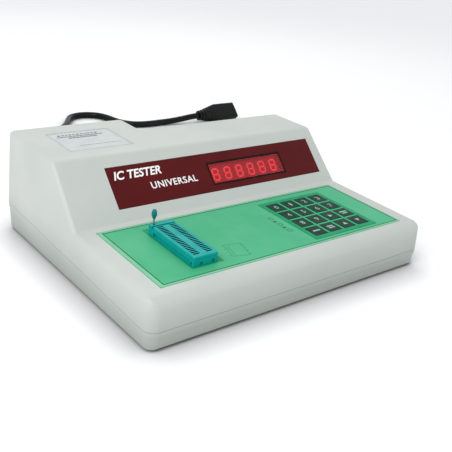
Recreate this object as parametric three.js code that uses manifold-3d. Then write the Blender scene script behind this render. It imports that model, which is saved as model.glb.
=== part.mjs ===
// Bench tester for integrated circuits: a two-part console case with a sloped display face and a
// near-level deck that carries a 40-way lever socket and a 4 by 4 keypad, with its mains lead.
// Millimetres. +X right, +Y back, +Z up; the origin is on the table, under the middle of the case.
import * as THREE from 'three';
import { mergeVertices } from 'three/addons/utils/BufferGeometryUtils.js';
import Module from 'manifold-3d';

const wasm = await Module();
wasm.setup();

// ---- driving dimensions ----
const CASE_WIDTH = 290; // at the parting line, where the case is widest
const CASE_DEPTH = 244;
const REAR_PROUD = 2; // how far the rear fittings stand out of the case
const WALL = 2.5;
const GAP = 0.3; // between pieces that touch
const FOOT_HEIGHT = 2;
const PARTING_FRONT_Z = 16;
const PARTING_REAR_Z = 26.5;
const NOTCH_X = -29; // the right-hand part of the rear wall starts here
const NOTCH_DEPTH = 34; // and stands this far in front of the left-hand part

const DECK_FRONT_Z = 40.6;
const DECK_LENGTH = 111.2;
const DECK_TILT = THREE.MathUtils.degToRad(2.2);
const FACE_LENGTH = 61.5;
const FACE_TILT = THREE.MathUtils.degToRad(46.1);
const TOP_TILT = THREE.MathUtils.degToRad(1.3);

const SIDE_LEAN = 0.049; // sideways draft of the upper case, per mm of height
const END_LEAN = 0.02; // front and rear draft of the upper case
const BASE_LEAN = 0.04; // draft of the lower case, all round
const CORNER_RADIUS = 9.3; // upright corners, seen from above
const SIDE_ROUND = 4; // along the upper side edges
const BASE_ROUND = 2;

const PANEL = { x0: -99, x1: 129.7, y0: 12.2, y1: 49.2 }; // on the sloped face
const WINDOW = { x0: -0.5, x1: 87.2, y0: 17.9, y1: 40 };
const PANEL_THICKNESS = 0.6;
const FILTER_THICKNESS = 3;
const DIGITS = { count: 6, firstX: 8.6, pitch: 13.75, y: 28.9, width: 12.4, height: 17.4, depth: 8 };

const OVERLAY = { x0: -127.6, x1: 128, y0: 13.6, y1: 104.8 }; // on the deck
const OVERLAY_THICKNESS = 0.6;
const KEYPAD = { x0: 28, x1: 103, y0: 20, y1: 95 };
const KEY_PITCH = { x: 17.2, y: 17 };
const KEY_SIZE = 14.2;
const KEY_HEIGHT = 2.1;
const KEY_PROUD = 0.5;
const FRAME_PROUD = 0.3;
const FRAME_THICKNESS = 2.5;

const SOCKET_WELL = { x0: -93, x1: -64.5, y0: 25, y1: 95 };
const SOCKET = { x0: -91.3, x1: -69.3, y0: 27, y1: 88.5 };
const SOCKET_HEIGHT = 8; // above the deck
const SLIDER = { y1: 82, thickness: 2.1, room: 1.9 }; // room to slide in, towards the lever
const WAYS_PER_ROW = 20;
const WAY_PITCH = 2.54;
const FIRST_WAY_Y = 31.6;
const ROW_SPACING = 11.43;
const SLOT = { width: 5.6, length: 1.3 };
const WELL_DEPTH = 3.5; // of the contact wells, under the slider
const NOTCH = { width: 2.4, depth: 1.4, height: 3 }; // along the foot of the socket's body
const LEVER = { x: -88, y: 86.2, height: 4.6, rod: 0.8, shaft: 4.6, clearance: 0.35, length: 12.2 };
const KNOB = { width: 4.4, height: 8.6 };

const LABEL = { x0: -117.5, x1: -57, y0: 15, y1: 64.5 }; // on the top
const GLAND = { x: -84, z: 38, hole: 5.3, length: 37.6 };
const FUSE = { x: -52, z: 47, hole: 6.3 };
const SWITCH = { x: -106, z: 56, width: 13, height: 19 };
const ROCKER_TILT = THREE.MathUtils.degToRad(8);

const CORD_DIAMETER = 8.6;
const CONNECTOR = { x: 238, y: 350.8, z: 11.9, relief: 28, body: 38, width: 25, height: 18, chamfer: 5 };
const CORD_ROUTE = [
  [-84, 159.2, 38], [-84, 173, 37.4], [-83, 191, 32.5], [-80.5, 211, 22.3], [-76, 231, 11.4],
  [-68, 251, 6], [-55, 273, 4.5], [-36, 299, 4.5], [-13, 327, 4.5], [11, 354, 4.5], [33, 379, 4.5],
  [49.5, 398, 4.5], [61.7, 417.5, 4.5], [69.4, 427.3, 4.5], [80.4, 433.2, 4.5], [92.8, 434.1, 4.5],
  [104.6, 429.8, 4.5], [113.5, 421.1, 4.5], [118.2, 409.6, 4.5], [120.1, 398.9, 4.5], [122, 388.3, 4.5],
  [128, 374.3, 4.5], [139.7, 364.5, 4.5], [154.5, 361, 4.5], [178, 361, 4.5], [196, 360, 5.3],
  [212, 356.3, 7.8], [225, 352.4, 10.6], [233, 351, 11.6], [237.7, 350.8, 11.9],
];

// ---- positions worked out from them ----
const FRONT_Y = -(CASE_DEPTH + REAR_PROUD) / 2;
const REAR_Y = FRONT_Y + CASE_DEPTH;
const MIDDLE_Y = (FRONT_Y + REAR_Y) / 2;
const FITTING_Y = REAR_Y + GAP; // where flanges on the rear wall start
const BASE_Z = FOOT_HEIGHT + GAP;
const FLOOR_Z = BASE_Z + WALL;
const BOARD_THICKNESS = 1.6;
const PARTING_TILT = Math.atan2(PARTING_REAR_Z - PARTING_FRONT_Z, CASE_DEPTH);
const partingZ = (y) => PARTING_FRONT_Z + (y - FRONT_Y) * Math.tan(PARTING_TILT);

const deck = new THREE.Group();
deck.position.set(0, FRONT_Y + END_LEAN * (DECK_FRONT_Z - PARTING_FRONT_Z), DECK_FRONT_Z);
deck.rotation.x = DECK_TILT;

const face = new THREE.Group();
face.position.copy(deck.position);
face.position.y += DECK_LENGTH * Math.cos(DECK_TILT);
face.position.z += DECK_LENGTH * Math.sin(DECK_TILT);
face.rotation.x = FACE_TILT;

const top = new THREE.Group();
top.position.copy(face.position);
top.position.y += FACE_LENGTH * Math.cos(FACE_TILT);
top.position.z += FACE_LENGTH * Math.sin(FACE_TILT);
top.rotation.x = TOP_TILT;

const tester = new THREE.Group();
tester.add(deck, face, top);
tester.updateMatrixWorld(true);

// ---- materials ----
const plastic = (color, roughness = 0.5) => new THREE.MeshStandardMaterial({ color, roughness });
const metal = (color, roughness = 0.35) => new THREE.MeshStandardMaterial({ color, roughness, metalness: 1 });
const casePlastic = plastic(0xd9dad4);
const socketPlastic = plastic(0x12b3ae, 0.4);
const keyPlastic = plastic(0x2d5f4b, 0.45);
const boardLaminate = plastic(0x1c7a52);
const blackPlastic = plastic(0x17181a, 0.4);
const cordSheath = plastic(0x0e0f10, 0.35);
const footRubber = plastic(0x1b1b1b, 0.85);
const steel = metal(0xb9bcc0);

// ---- solids ----
function solid(geometry) {
  const bare = geometry.clone();
  bare.deleteAttribute('normal');
  bare.deleteAttribute('uv');
  const merged = mergeVertices(bare, 1e-4);
  return new wasm.Manifold(new wasm.Mesh({
    numProp: 3,
    vertProperties: new Float32Array(merged.attributes.position.array),
    triVerts: new Uint32Array(merged.index.array),
  }));
}

function surface(manifold) {
  const mesh = manifold.getMesh();
  const geometry = new THREE.BufferGeometry();
  geometry.setAttribute('position', new THREE.BufferAttribute(new Float32Array(mesh.vertProperties), 3));
  geometry.setIndex(new THREE.BufferAttribute(new Uint32Array(mesh.triVerts), 1));
  geometry.computeVertexNormals();
  return geometry;
}

function join(...geometries) {
  return surface(geometries.map(solid).reduce((sum, next) => sum.add(next)));
}

function cut(geometry, ...tools) {
  return surface(tools.map(solid).reduce((rest, tool) => rest.subtract(tool), solid(geometry)));
}

function common(...geometries) {
  return surface(geometries.map(solid).reduce((sum, next) => sum.intersect(next)));
}

function block(x0, x1, y0, y1, z0, z1) {
  const geometry = new THREE.BoxGeometry(x1 - x0, y1 - y0, z1 - z0);
  return geometry.translate((x0 + x1) / 2, (y0 + y1) / 2, (z0 + z1) / 2);
}

function plate(area, z0, z1, margin = 0) {
  return block(area.x0 - margin, area.x1 + margin, area.y0 - margin, area.y1 + margin, z0, z1);
}

function inGroup(geometry, group) {
  return geometry.applyMatrix4(group.matrixWorld);
}

// a round solid about the upright line at x, y; its profile is [radius, height] pairs from axis to axis
function turned(profile, x, y, sides = 20) {
  const points = profile.map(([radius, height]) => new THREE.Vector2(radius, height));
  return new THREE.LatheGeometry(points, sides).rotateX(Math.PI / 2).translate(x, y, 0);
}

function rod(radius, z0, z1, x, y, sides = 20) {
  return turned([[0, z0], [radius, z0], [radius, z1], [0, z1]], x, y, sides);
}

// the same round solid laid along +Y, with its heights measured along Y
function turnedBack(profile, x, z, sides = 24) {
  const points = profile.map(([radius, along]) => new THREE.Vector2(radius, along));
  return new THREE.LatheGeometry(points, sides).translate(x, 0, z);
}

// ---- outlines ----
const ARC_STEPS = 5;

function roundCorners(points, radii) {
  return points.flatMap((corner, i) => {
    const radius = radii[i];
    if (radius === 0) return [corner];
    const before = points[(i + points.length - 1) % points.length].clone().sub(corner).normalize();
    const after = points[(i + 1) % points.length].clone().sub(corner).normalize();
    const half = before.angleTo(after) / 2;
    const bisector = before.clone().add(after).normalize();
    const centre = corner.clone().addScaledVector(bisector, radius / Math.sin(half));
    const start = corner.clone().addScaledVector(before, radius / Math.tan(half)).sub(centre);
    const turn = Math.sign(start.cross(bisector)) * (Math.PI - 2 * half);
    return Array.from({ length: ARC_STEPS + 1 }, (_, k) => {
      const arm = start.clone().rotateAround(new THREE.Vector2(), (-turn * k) / ARC_STEPS);
      return centre.clone().add(arm);
    });
  });
}

// moves every side of an anticlockwise outline inwards
function inset(points, distance) {
  return points.map((corner, i) => {
    const before = points[(i + points.length - 1) % points.length];
    const after = points[(i + 1) % points.length];
    const along0 = corner.clone().sub(before).normalize();
    const along1 = after.clone().sub(corner).normalize();
    const normals = [along0, along1].map((d) => new THREE.Vector2(-d.y, d.x));
    const mitre = normals[0].clone().add(normals[1]).normalize();
    return corner.clone().addScaledVector(mitre, distance / mitre.dot(normals[0]));
  });
}

function extrude(outline, length, round) {
  return new THREE.ExtrudeGeometry(new THREE.Shape(outline), {
    depth: length - 2 * round,
    bevelEnabled: round > 0,
    bevelThickness: round,
    bevelSize: round,
    bevelOffset: -round,
    bevelSegments: 3,
  }).translate(0, 0, round);
}

const SIDEWAYS = new THREE.Matrix4().makeBasis(
  new THREE.Vector3(0, 1, 0), new THREE.Vector3(0, 0, 1), new THREE.Vector3(1, 0, 0));

// extrudes a (y, z) outline along X
function alongX(outline, x0, x1, round = 0) {
  return extrude(outline, x1 - x0, round).applyMatrix4(SIDEWAYS).translate(x0, 0, 0);
}

// extrudes an (x, y) outline along Z
function alongZ(outline, z0, z1, round = 0) {
  return extrude(outline, z1 - z0, round).translate(0, 0, z0);
}

// leans upright walls towards the middle of the case as they leave the parting plane
function lean(geometry, direction, sideLean, endLean) {
  const position = geometry.attributes.position;
  for (let i = 0; i < position.count; i += 1) {
    const y = position.getY(i);
    const away = direction * (position.getZ(i) - partingZ(y));
    position.setX(i, position.getX(i) * (1 - (away * sideLean) / (CASE_WIDTH / 2)));
    position.setY(i, y - Math.sign(y - MIDDLE_Y) * away * endLean);
  }
  return geometry;
}

// ---- case ----
const BELOW = 12; // outlines run this far past the parting plane before they are cut on it
const FAR = 400;

function sideOutline(rearY, insetBy) {
  const faceTop = top.position;
  const topRearZ = faceTop.z + (rearY - faceTop.y) * Math.tan(TOP_TILT);
  const lowZ = PARTING_FRONT_Z - BELOW;
  const frontAt = (z) => FRONT_Y + END_LEAN * (z - PARTING_FRONT_Z);
  const rearAt = (z) => rearY - END_LEAN * (z - partingZ(rearY));
  const points = [
    [frontAt(lowZ), lowZ], [rearAt(lowZ), lowZ], [rearAt(topRearZ), topRearZ],
    [faceTop.y, faceTop.z], [face.position.y, face.position.z], [deck.position.y, deck.position.z],
  ].map(([y, z]) => new THREE.Vector2(y, z));
  const radii = [0, 0, 5.5, 6, 3, 9].map((radius) => (insetBy > 0 && radius > WALL ? radius - WALL : radius));
  return roundCorners(inset(points, insetBy), radii);
}

function planOutline(insetBy) {
  const halfWidth = CASE_WIDTH / 2;
  const points = [
    [-halfWidth, FRONT_Y], [halfWidth, FRONT_Y], [halfWidth, REAR_Y - NOTCH_DEPTH],
    [NOTCH_X, REAR_Y - NOTCH_DEPTH], [NOTCH_X, REAR_Y], [-halfWidth, REAR_Y],
  ].map(([x, y]) => new THREE.Vector2(x, y));
  const radius = CORNER_RADIUS - insetBy;
  return roundCorners(inset(points, insetBy), [radius, radius, radius, 3, radius / 2, radius]);
}

function upperShape(insetBy, round) {
  const side = CASE_WIDTH / 2 - insetBy;
  const full = alongX(sideOutline(REAR_Y - NOTCH_DEPTH, insetBy), -side, side, round);
  const bay = alongX(sideOutline(REAR_Y, insetBy), -side, NOTCH_X - insetBy, round);
  const plan = alongZ(planOutline(insetBy), 0, 120);
  const sides = join(lean(full, 1, SIDE_LEAN, 0), lean(bay, 1, SIDE_LEAN, 0));
  return common(sides, lean(plan, 1, SIDE_LEAN, END_LEAN));
}

function partingHalf(side, offset) {
  const half = block(-FAR, FAR, -FAR, FAR, side > 0 ? 0 : -FAR, side > 0 ? FAR : 0);
  return half.rotateX(PARTING_TILT).translate(0, 0, partingZ(0) + offset);
}

const SCREWS = [[-125, -103], [125, -103], [-125, 104], [125, 70]];
const SEAT_DEPTH = 8; // of each screw's head under the parting plane
const SCREW = { radius: 1.5, head: 3.2, headHeight: 2.2, length: 17 };
const BOSS_RADIUS = 4.4;

function upperCase() {
  const shell = common(cut(upperShape(0, SIDE_ROUND), upperShape(WALL, 2)), partingHalf(1, GAP / 2));
  const posts = SCREWS.map(([x, y]) => {
    const post = rod(BOSS_RADIUS, partingZ(y) + 1, 100, x, y);
    return common(post, upperShape(WALL / 2, 2));
  });
  const pilots = SCREWS.map(([x, y]) => rod(SCREW.radius + GAP, 0, partingZ(y) + 11, x, y, 12));
  const openings = [
    inGroup(plate(OVERLAY, -OVERLAY_THICKNESS - GAP, 8, GAP), deck),
    inGroup(plate(KEYPAD, -10, 8, GAP), deck),
    inGroup(plate(SOCKET_WELL, -10, 8), deck),
    inGroup(plate(PANEL, -PANEL_THICKNESS - GAP - 0.1, 8, GAP), face),
    inGroup(plate(WINDOW, -10, 8, GAP), face),
    inGroup(plate(LABEL, -0.8, 8, GAP), top),
    turnedBack([[0, REAR_Y - 9], [GLAND.hole, REAR_Y - 9], [GLAND.hole, REAR_Y + 9], [0, REAR_Y + 9]],
      GLAND.x, GLAND.z),
    turnedBack([[0, REAR_Y - 9], [FUSE.hole, REAR_Y - 9], [FUSE.hole, REAR_Y + 9], [0, REAR_Y + 9]],
      FUSE.x, FUSE.z),
    block(SWITCH.x - SWITCH.width / 2 - GAP, SWITCH.x + SWITCH.width / 2 + GAP, REAR_Y - 9, REAR_Y + 9,
      SWITCH.z - SWITCH.height / 2 - GAP, SWITCH.z + SWITCH.height / 2 + GAP),
  ];
  return cut(join(shell, ...posts), ...pilots, ...openings);
}

const MAIN_BOARD = { x0: -40, x1: 118, y0: -70, y1: 72, z: FLOOR_Z + 5 };
const BOARD_INSET = 6; // of the stand-offs from the main board's edges

function boardCorners() {
  const { x0, x1, y0, y1 } = MAIN_BOARD;
  const rows = [y0 + BOARD_INSET, y1 - BOARD_INSET];
  return [x0 + BOARD_INSET, x1 - BOARD_INSET].flatMap((x) => rows.map((y) => [x, y]));
}

function lowerCase() {
  const outside = lean(alongZ(planOutline(0), BASE_Z, BASE_Z + 60, BASE_ROUND), -1, BASE_LEAN, BASE_LEAN);
  const inside = lean(alongZ(planOutline(WALL), FLOOR_Z, FLOOR_Z + 60), -1, BASE_LEAN, BASE_LEAN);
  const bosses = SCREWS.map(([x, y]) => rod(BOSS_RADIUS + 1, BASE_Z + 1, partingZ(y) - 1, x, y));
  const standoffs = boardCorners().map(([x, y]) => rod(3, BASE_Z + 1, MAIN_BOARD.z - GAP, x, y, 16));
  const holes = SCREWS.flatMap(([x, y]) => [
    rod(SCREW.head + 0.5, 0, partingZ(y) - SEAT_DEPTH, x, y),
    rod(SCREW.radius + GAP, 0, 60, x, y, 12),
  ]);
  const shell = common(cut(outside, inside), partingHalf(-1, -GAP / 2));
  return cut(join(shell, ...bosses, ...standoffs), ...holes);
}

function caseScrew([x, y]) {
  const seat = partingZ(y) - SEAT_DEPTH - GAP;
  const { radius, head, headHeight, length } = SCREW;
  return turned([
    [0, seat - headHeight + 0.9], [1.1, seat - headHeight], [head, seat - headHeight], [head, seat - 0.6],
    [head - 0.5, seat], [radius, seat], [radius, seat + length], [0, seat + length + 1],
  ], x, y, 16);
}

const FEET = [[-118, -92], [118, -92], [-118, 88], [118, 60]];

function foot([x, y]) {
  return turned([[0, 0], [6.6, 0], [7, 0.5], [7, FOOT_HEIGHT], [0, FOOT_HEIGHT]], x, y, 24);
}

// ---- display, on the sloped face ----
function displayPanel() {
  const sheet = plate(PANEL, -PANEL_THICKNESS - 0.1, -0.1);
  return cut(sheet, plate(WINDOW, -9, 9, GAP));
}

const FILTER_TOP = -0.15;
const DIGIT_TOP = FILTER_TOP - FILTER_THICKNESS - GAP;
const DIGIT_BOTTOM = DIGIT_TOP - DIGITS.depth;

function displayDigit(index) {
  const x = DIGITS.firstX + index * DIGITS.pitch;
  const { width, height, y } = DIGITS;
  return block(x - width / 2, x + width / 2, y - height / 2, y + height / 2, DIGIT_BOTTOM, DIGIT_TOP);
}

// ---- keypad, on the deck ----
function deckOverlay() {
  return cut(plate(OVERLAY, -OVERLAY_THICKNESS, 0), plate(KEYPAD, -9, 9, GAP), plate(SOCKET, -9, 9, GAP));
}

const keyCentre = (column, row) => [
  (KEYPAD.x0 + KEYPAD.x1) / 2 + (column - 1.5) * KEY_PITCH.x,
  (KEYPAD.y0 + KEYPAD.y1) / 2 + (1.5 - row) * KEY_PITCH.y,
];
const KEY_CELLS = Array.from({ length: 16 }, (_, i) => [i % 4, Math.floor(i / 4)]);

function keySquare(column, row, size, z0, z1) {
  const [x, y] = keyCentre(column, row);
  return block(x - size / 2, x + size / 2, y - size / 2, y + size / 2, z0, z1);
}

function keypadFrame() {
  const openings = KEY_CELLS.map(([column, row]) => keySquare(column, row, KEY_SIZE + 2 * GAP, -9, 9));
  return cut(plate(KEYPAD, FRAME_PROUD - FRAME_THICKNESS, FRAME_PROUD), ...openings);
}

function keyCap(column, row) {
  const [x, y] = keyCentre(column, row);
  const half = KEY_SIZE / 2;
  const square = [[-half, -half], [half, -half], [half, half], [-half, half]]
    .map(([dx, dy]) => new THREE.Vector2(x + dx, y + dy));
  return alongZ(square, KEY_PROUD - KEY_HEIGHT, KEY_PROUD, 0.4);
}

// ---- lever socket, on the deck ----
const UNDER_DECK = FRAME_PROUD - FRAME_THICKNESS - GAP; // top of the dome sheet
const DOME_THICKNESS = 0.4;
const BOARD_TOP = UNDER_DECK - DOME_THICKNESS - GAP;
const SOCKET_X = (SOCKET.x0 + SOCKET.x1) / 2;
const SLIDER_BOTTOM = SOCKET_HEIGHT - SLIDER.thickness;

function waySlots(z0, z1, width, length) {
  return [-1, 1].flatMap((side) => Array.from({ length: WAYS_PER_ROW }, (_, i) => {
    const x = SOCKET_X + (side * ROW_SPACING) / 2;
    const y = FIRST_WAY_Y + i * WAY_PITCH;
    return block(x - width / 2, x + width / 2, y - length / 2, y + length / 2, z0, z1);
  }));
}

function socketBase() {
  const body = plate(SOCKET, BOARD_TOP + GAP, SOCKET_HEIGHT);
  const sliderSpace = block(SOCKET.x0 - 1, SOCKET.x1 + 1, SOCKET.y0 - 1, SLIDER.y1 + SLIDER.room,
    SLIDER_BOTTOM - GAP, SOCKET_HEIGHT + 1);
  const wells = [-1, 1].map((side) => {
    const x = SOCKET_X + (side * ROW_SPACING) / 2;
    const lastY = FIRST_WAY_Y + (WAYS_PER_ROW - 1) * WAY_PITCH;
    return block(x - SLOT.width / 2, x + SLOT.width / 2, FIRST_WAY_Y - 1, lastY + 1,
      SLIDER_BOTTOM - WELL_DEPTH, 20);
  });
  const frontNotches = [SOCKET.x0 + 7, SOCKET.x1 - 4].map(
    (x) => block(x - NOTCH.width / 2, x + NOTCH.width / 2, SOCKET.y0 - 1, SOCKET.y0 + NOTCH.depth,
      0, NOTCH.height));
  const sideNotchY = SOCKET.y0 + 1.6;
  const sideNotch = block(SOCKET.x0 - 1, SOCKET.x0 + NOTCH.depth, sideNotchY, sideNotchY + NOTCH.width,
    0, NOTCH.height);
  const bore = LEVER.rod + LEVER.clearance;
  const leverBore = rod(bore, SOCKET.x0 - 1, LEVER.x + LEVER.shaft + 0.4, 0, 0, 12).rotateY(Math.PI / 2)
    .translate(0, LEVER.y, LEVER.height);
  const leverSlot = block(LEVER.x - bore, LEVER.x + bore, LEVER.y - bore, SOCKET.y1 + 1,
    LEVER.height - bore, SOCKET_HEIGHT + 1);
  return cut(body, sliderSpace, ...wells, ...frontNotches, sideNotch, leverBore, leverSlot);
}

function socketSlider() {
  const cover = block(SOCKET.x0, SOCKET.x1, SOCKET.y0, SLIDER.y1, SLIDER_BOTTOM, SOCKET_HEIGHT);
  return cut(cover, ...waySlots(-9, 20, SLOT.width, SLOT.length));
}

// a bent steel rod: the cam shaft lies in the socket's end block and the arm stands out of its slot
function socketLever() {
  const { x, y, height, rod: radius, shaft: shaftLength, length } = LEVER;
  const shaft = rod(radius, 0, shaftLength, 0, 0, 12).rotateY(Math.PI / 2).translate(x, y, height);
  const elbow = new THREE.SphereGeometry(radius * 1.02, 12, 8).translate(x, y, height);
  const arm = rod(radius, height, height + length, x, y, 12);
  return join(shaft, elbow, arm);
}

function leverKnob() {
  const { x, y, height, length, rod: radius } = LEVER;
  const bottom = height + length - KNOB.height / 2;
  const profile = Array.from({ length: 9 }, (_, i) => {
    const angle = (Math.PI * i) / 8;
    return [(KNOB.width / 2) * Math.sin(angle), bottom + (KNOB.height / 2) * (1 - Math.cos(angle))];
  });
  profile[0][0] = 0;
  profile[8][0] = 0;
  const bore = rod(radius + GAP, 0, height + length + GAP, x, y, 12);
  return cut(turned(profile, x, y, 16), bore);
}

// ---- rear fittings ----
function cordGland() {
  const { x, z, length } = GLAND;
  const wallInside = REAR_Y - WALL - 1;
  return turnedBack([
    [0, wallInside - 4], [7.4, wallInside - 4], [7.4, wallInside], [5, wallInside], [5, FITTING_Y],
    [8, FITTING_Y], [8, FITTING_Y + 2.2], [6.8, FITTING_Y + 2.6], [5.3, FITTING_Y + length],
    [0, FITTING_Y + length],
  ], x, z);
}

function fuseHolder() {
  return turnedBack([
    [0, REAR_Y - 30], [5.9, REAR_Y - 30], [5.9, FITTING_Y], [8, FITTING_Y], [8, REAR_Y + 1.4],
    [7.4, REAR_Y + REAR_PROUD], [5.6, REAR_Y + REAR_PROUD], [5.6, REAR_Y + 1], [0, REAR_Y + 1],
  ], FUSE.x, FUSE.z);
}

function switchBody() {
  const { x, z, width, height } = SWITCH;
  const body = block(x - width / 2, x + width / 2, REAR_Y - 17, FITTING_Y, z - height / 2, z + height / 2);
  const flange = block(x - width / 2 - 1.4, x + width / 2 + 1.4, FITTING_Y, REAR_Y + 1.4,
    z - height / 2 - 1.4, z + height / 2 + 1.4);
  const opening = block(x - width / 2 + 1.6, x + width / 2 - 1.6, REAR_Y - 7, REAR_Y + 9,
    z - height / 2 + 1.6, z + height / 2 - 1.6);
  return cut(join(body, flange), opening);
}

function switchRocker() {
  const { x, z, width, height } = SWITCH;
  const halfHeight = height / 2 - 2.2;
  const outline = [
    [-2.5, 1 - halfHeight], [1.5, -halfHeight], [0.6, 0], [1.5, halfHeight], [-2.5, halfHeight - 1],
  ].map(([out, up]) => new THREE.Vector2(out, up));
  const halfWidth = width / 2 - 2;
  return alongX(outline, -halfWidth, halfWidth, 0.3).rotateX(ROCKER_TILT).translate(x, REAR_Y - 0.3, z);
}

// ---- inside ----
function mainBoard() {
  return plate(MAIN_BOARD, MAIN_BOARD.z, MAIN_BOARD.z + BOARD_THICKNESS);
}

const ON_BOARD = MAIN_BOARD.z + BOARD_THICKNESS + GAP;

function dualInLine(x, y, length, width) {
  const body = block(x - length / 2, x + length / 2, y - width / 2, y + width / 2, ON_BOARD, ON_BOARD + 4);
  return cut(body, rod(1.4, ON_BOARD + 3, ON_BOARD + 9, x - length / 2, y, 12));
}

const REGULATOR = { x: 60, y: 50, width: 10, height: 17 };

function heatsink() {
  const { x, y } = REGULATOR;
  const back = block(x - 15, x + 15, y + 3, y + 6, ON_BOARD, ON_BOARD + 26);
  const fins = [-14, -7, 0, 7, 14].map(
    (dx) => block(x + dx - 0.8, x + dx + 0.8, y + 5, y + 16, ON_BOARD, ON_BOARD + 26));
  return join(back, ...fins);
}

function regulator() {
  const { x, y, width, height } = REGULATOR;
  const half = width / 2;
  const low = ON_BOARD + 3;
  const body = block(x - half, x + half, y - 1.6, y + 2.7, low, low + height * 0.6);
  const tab = block(x - half, x + half, y + 1.4, y + 2.7, low + 2, low + height);
  const legs = [-2.54, 0, 2.54].map(
    (dx) => block(x + dx - 0.4, x + dx + 0.4, y, y + 0.6, ON_BOARD, low + 1));
  return join(body, tab, ...legs);
}

const TRANSFORMER = { x: -84, y: 52, width: 54, depth: 34, height: 45, limb: 9 };

function transformerCore() {
  const { x, y, width, depth, height, limb } = TRANSFORMER;
  const z0 = FLOOR_Z + GAP;
  const stack = block(x - width / 2, x + width / 2, y - depth / 2 + 8, y + depth / 2 - 8, z0, z0 + height);
  const windows = [-1, 1].map((side) => {
    const inner = x + side * limb;
    const outer = x + side * (width / 2 - limb);
    const [x0, x1] = [Math.min(inner, outer), Math.max(inner, outer)];
    return block(x0, x1, y - depth, y + depth, z0 + limb, z0 + height - limb);
  });
  return cut(stack, ...windows);
}

function transformerCoil() {
  const { x, y, width, depth, height, limb } = TRANSFORMER;
  const z0 = FLOOR_Z + GAP + limb + GAP;
  const z1 = FLOOR_Z + height - limb;
  const [halfWidth, halfStack] = [width / 2 - limb - GAP, depth / 2 - 8 + GAP];
  const outside = block(x - halfWidth, x + halfWidth, y - depth / 2, y + depth / 2, z0, z1);
  const inside = block(x - limb - GAP, x + limb + GAP, y - halfStack, y + halfStack, z0 - 1, z1 + 1);
  return cut(outside, inside);
}

const CAPACITOR = [[0, 0], [7.4, 0], [8, 0.6], [8, 2], [7.5, 2.8], [8, 3.6], [8, 29.4], [7.2, 30], [0, 30]]
  .map(([radius, height]) => [radius, ON_BOARD + height]);

// ---- mains lead ----
function circle(radius, sides) {
  return Array.from({ length: sides }, (_, i) => {
    const angle = (2 * Math.PI * i) / sides;
    return new THREE.Vector2(radius * Math.cos(angle), radius * Math.sin(angle));
  });
}

function powerCord() {
  const route = new THREE.CatmullRomCurve3(CORD_ROUTE.map((point) => new THREE.Vector3(...point)));
  const section = new THREE.Shape(circle(CORD_DIAMETER / 2, 10));
  return new THREE.ExtrudeGeometry(section, { steps: 60, extrudePath: route });
}

// a moulded connector lying on the chamfered corner of its section
function cordConnector() {
  const { x, y, z, relief, body, width, height, chamfer } = CONNECTOR;
  const taper = turnedBack([
    [0, 0], [7.3, 0], [7.3, 2], [8.4, 6], [11, relief], [11, relief + 4], [0, relief + 4],
  ], 0, 0, 20);
  const half = width / 2;
  const rise = height / 2;
  const outline = [[chamfer - half, -rise], [half - chamfer, -rise], [half, chamfer - rise], [half, rise],
    [-half, rise], [-half, chamfer - rise]].map(([across, up]) => new THREE.Vector2(across, up));
  const contacts = [-7, 0, 7].map((across, i) => {
    const up = i === 1 ? -2 : 2;
    return block(relief + body - 14, relief + body + 1, across - 1.2, across + 1.2, up - 3, up + 3);
  });
  const moulding = join(taper.rotateZ(-Math.PI / 2), alongX(outline, relief, relief + body, 1));
  return cut(moulding, ...contacts).rotateX(Math.PI / 4).translate(x, y, z);
}

// ---- assembly ----
function add(parent, name, geometry, material) {
  const mesh = new THREE.Mesh(geometry, material);
  mesh.name = name;
  parent.add(mesh);
}

add(tester, 'upper_case', upperCase(), casePlastic);
add(tester, 'lower_case', lowerCase(), casePlastic);
SCREWS.forEach((place, i) => add(tester, `case_screw_${i}`, caseScrew(place), steel));
FEET.forEach((place, i) => add(tester, `foot_${i}`, foot(place), footRubber));

add(face, 'display_panel', displayPanel(), plastic(0x5f2328, 0.3));
add(face, 'display_filter',
  plate(WINDOW, FILTER_TOP - FILTER_THICKNESS, FILTER_TOP), plastic(0xb9232d, 0.15));
for (let i = 0; i < DIGITS.count; i += 1) {
  add(face, `display_digit_${i}`, displayDigit(i), plastic(0xe63c46, 0.4));
}
const DISPLAY_BOARD = { x0: -4, x1: 92, y0: 14, y1: 44 };
add(face, 'display_board',
  plate(DISPLAY_BOARD, DIGIT_BOTTOM - GAP - BOARD_THICKNESS, DIGIT_BOTTOM - GAP), boardLaminate);

add(deck, 'deck_overlay', deckOverlay(), plastic(0x5fc396, 0.4));
add(deck, 'keypad_frame', keypadFrame(), plastic(0x4fbd92, 0.4));
KEY_CELLS.forEach(([column, row], i) => add(deck, `key_${i}`, keyCap(column, row), keyPlastic));
add(deck, 'dome_sheet', plate(KEYPAD, UNDER_DECK - DOME_THICKNESS, UNDER_DECK, -1), steel);
const FRONT_BOARD = { x0: -104, x1: 108, y0: 14, y1: 98 };
add(deck, 'front_board', plate(FRONT_BOARD, BOARD_TOP - BOARD_THICKNESS, BOARD_TOP), boardLaminate);

add(deck, 'socket_base', socketBase(), socketPlastic);
add(deck, 'socket_slider', socketSlider(), socketPlastic);
add(deck, 'socket_lever', socketLever(), steel);
add(deck, 'lever_knob', leverKnob(), socketPlastic);

add(top, 'rating_label', plate(LABEL, -0.5, -0.05), plastic(0xc9d3d8, 0.35));

add(tester, 'main_board', mainBoard(), boardLaminate);
add(tester, 'microcontroller', dualInLine(20, -20, 52, 14), blackPlastic);
add(tester, 'memory_chip', dualInLine(20, 6, 36, 14), blackPlastic);
add(tester, 'filter_capacitor', turned(CAPACITOR, 10, 52), plastic(0x27304a, 0.4));
add(tester, 'heatsink', heatsink(), metal(0x9a9ea3, 0.5));
add(tester, 'regulator', regulator(), blackPlastic);
add(tester, 'transformer_core', transformerCore(), metal(0x6d6f72, 0.6));
add(tester, 'transformer_coil', transformerCoil(), plastic(0xb98a2e, 0.6));

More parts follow.
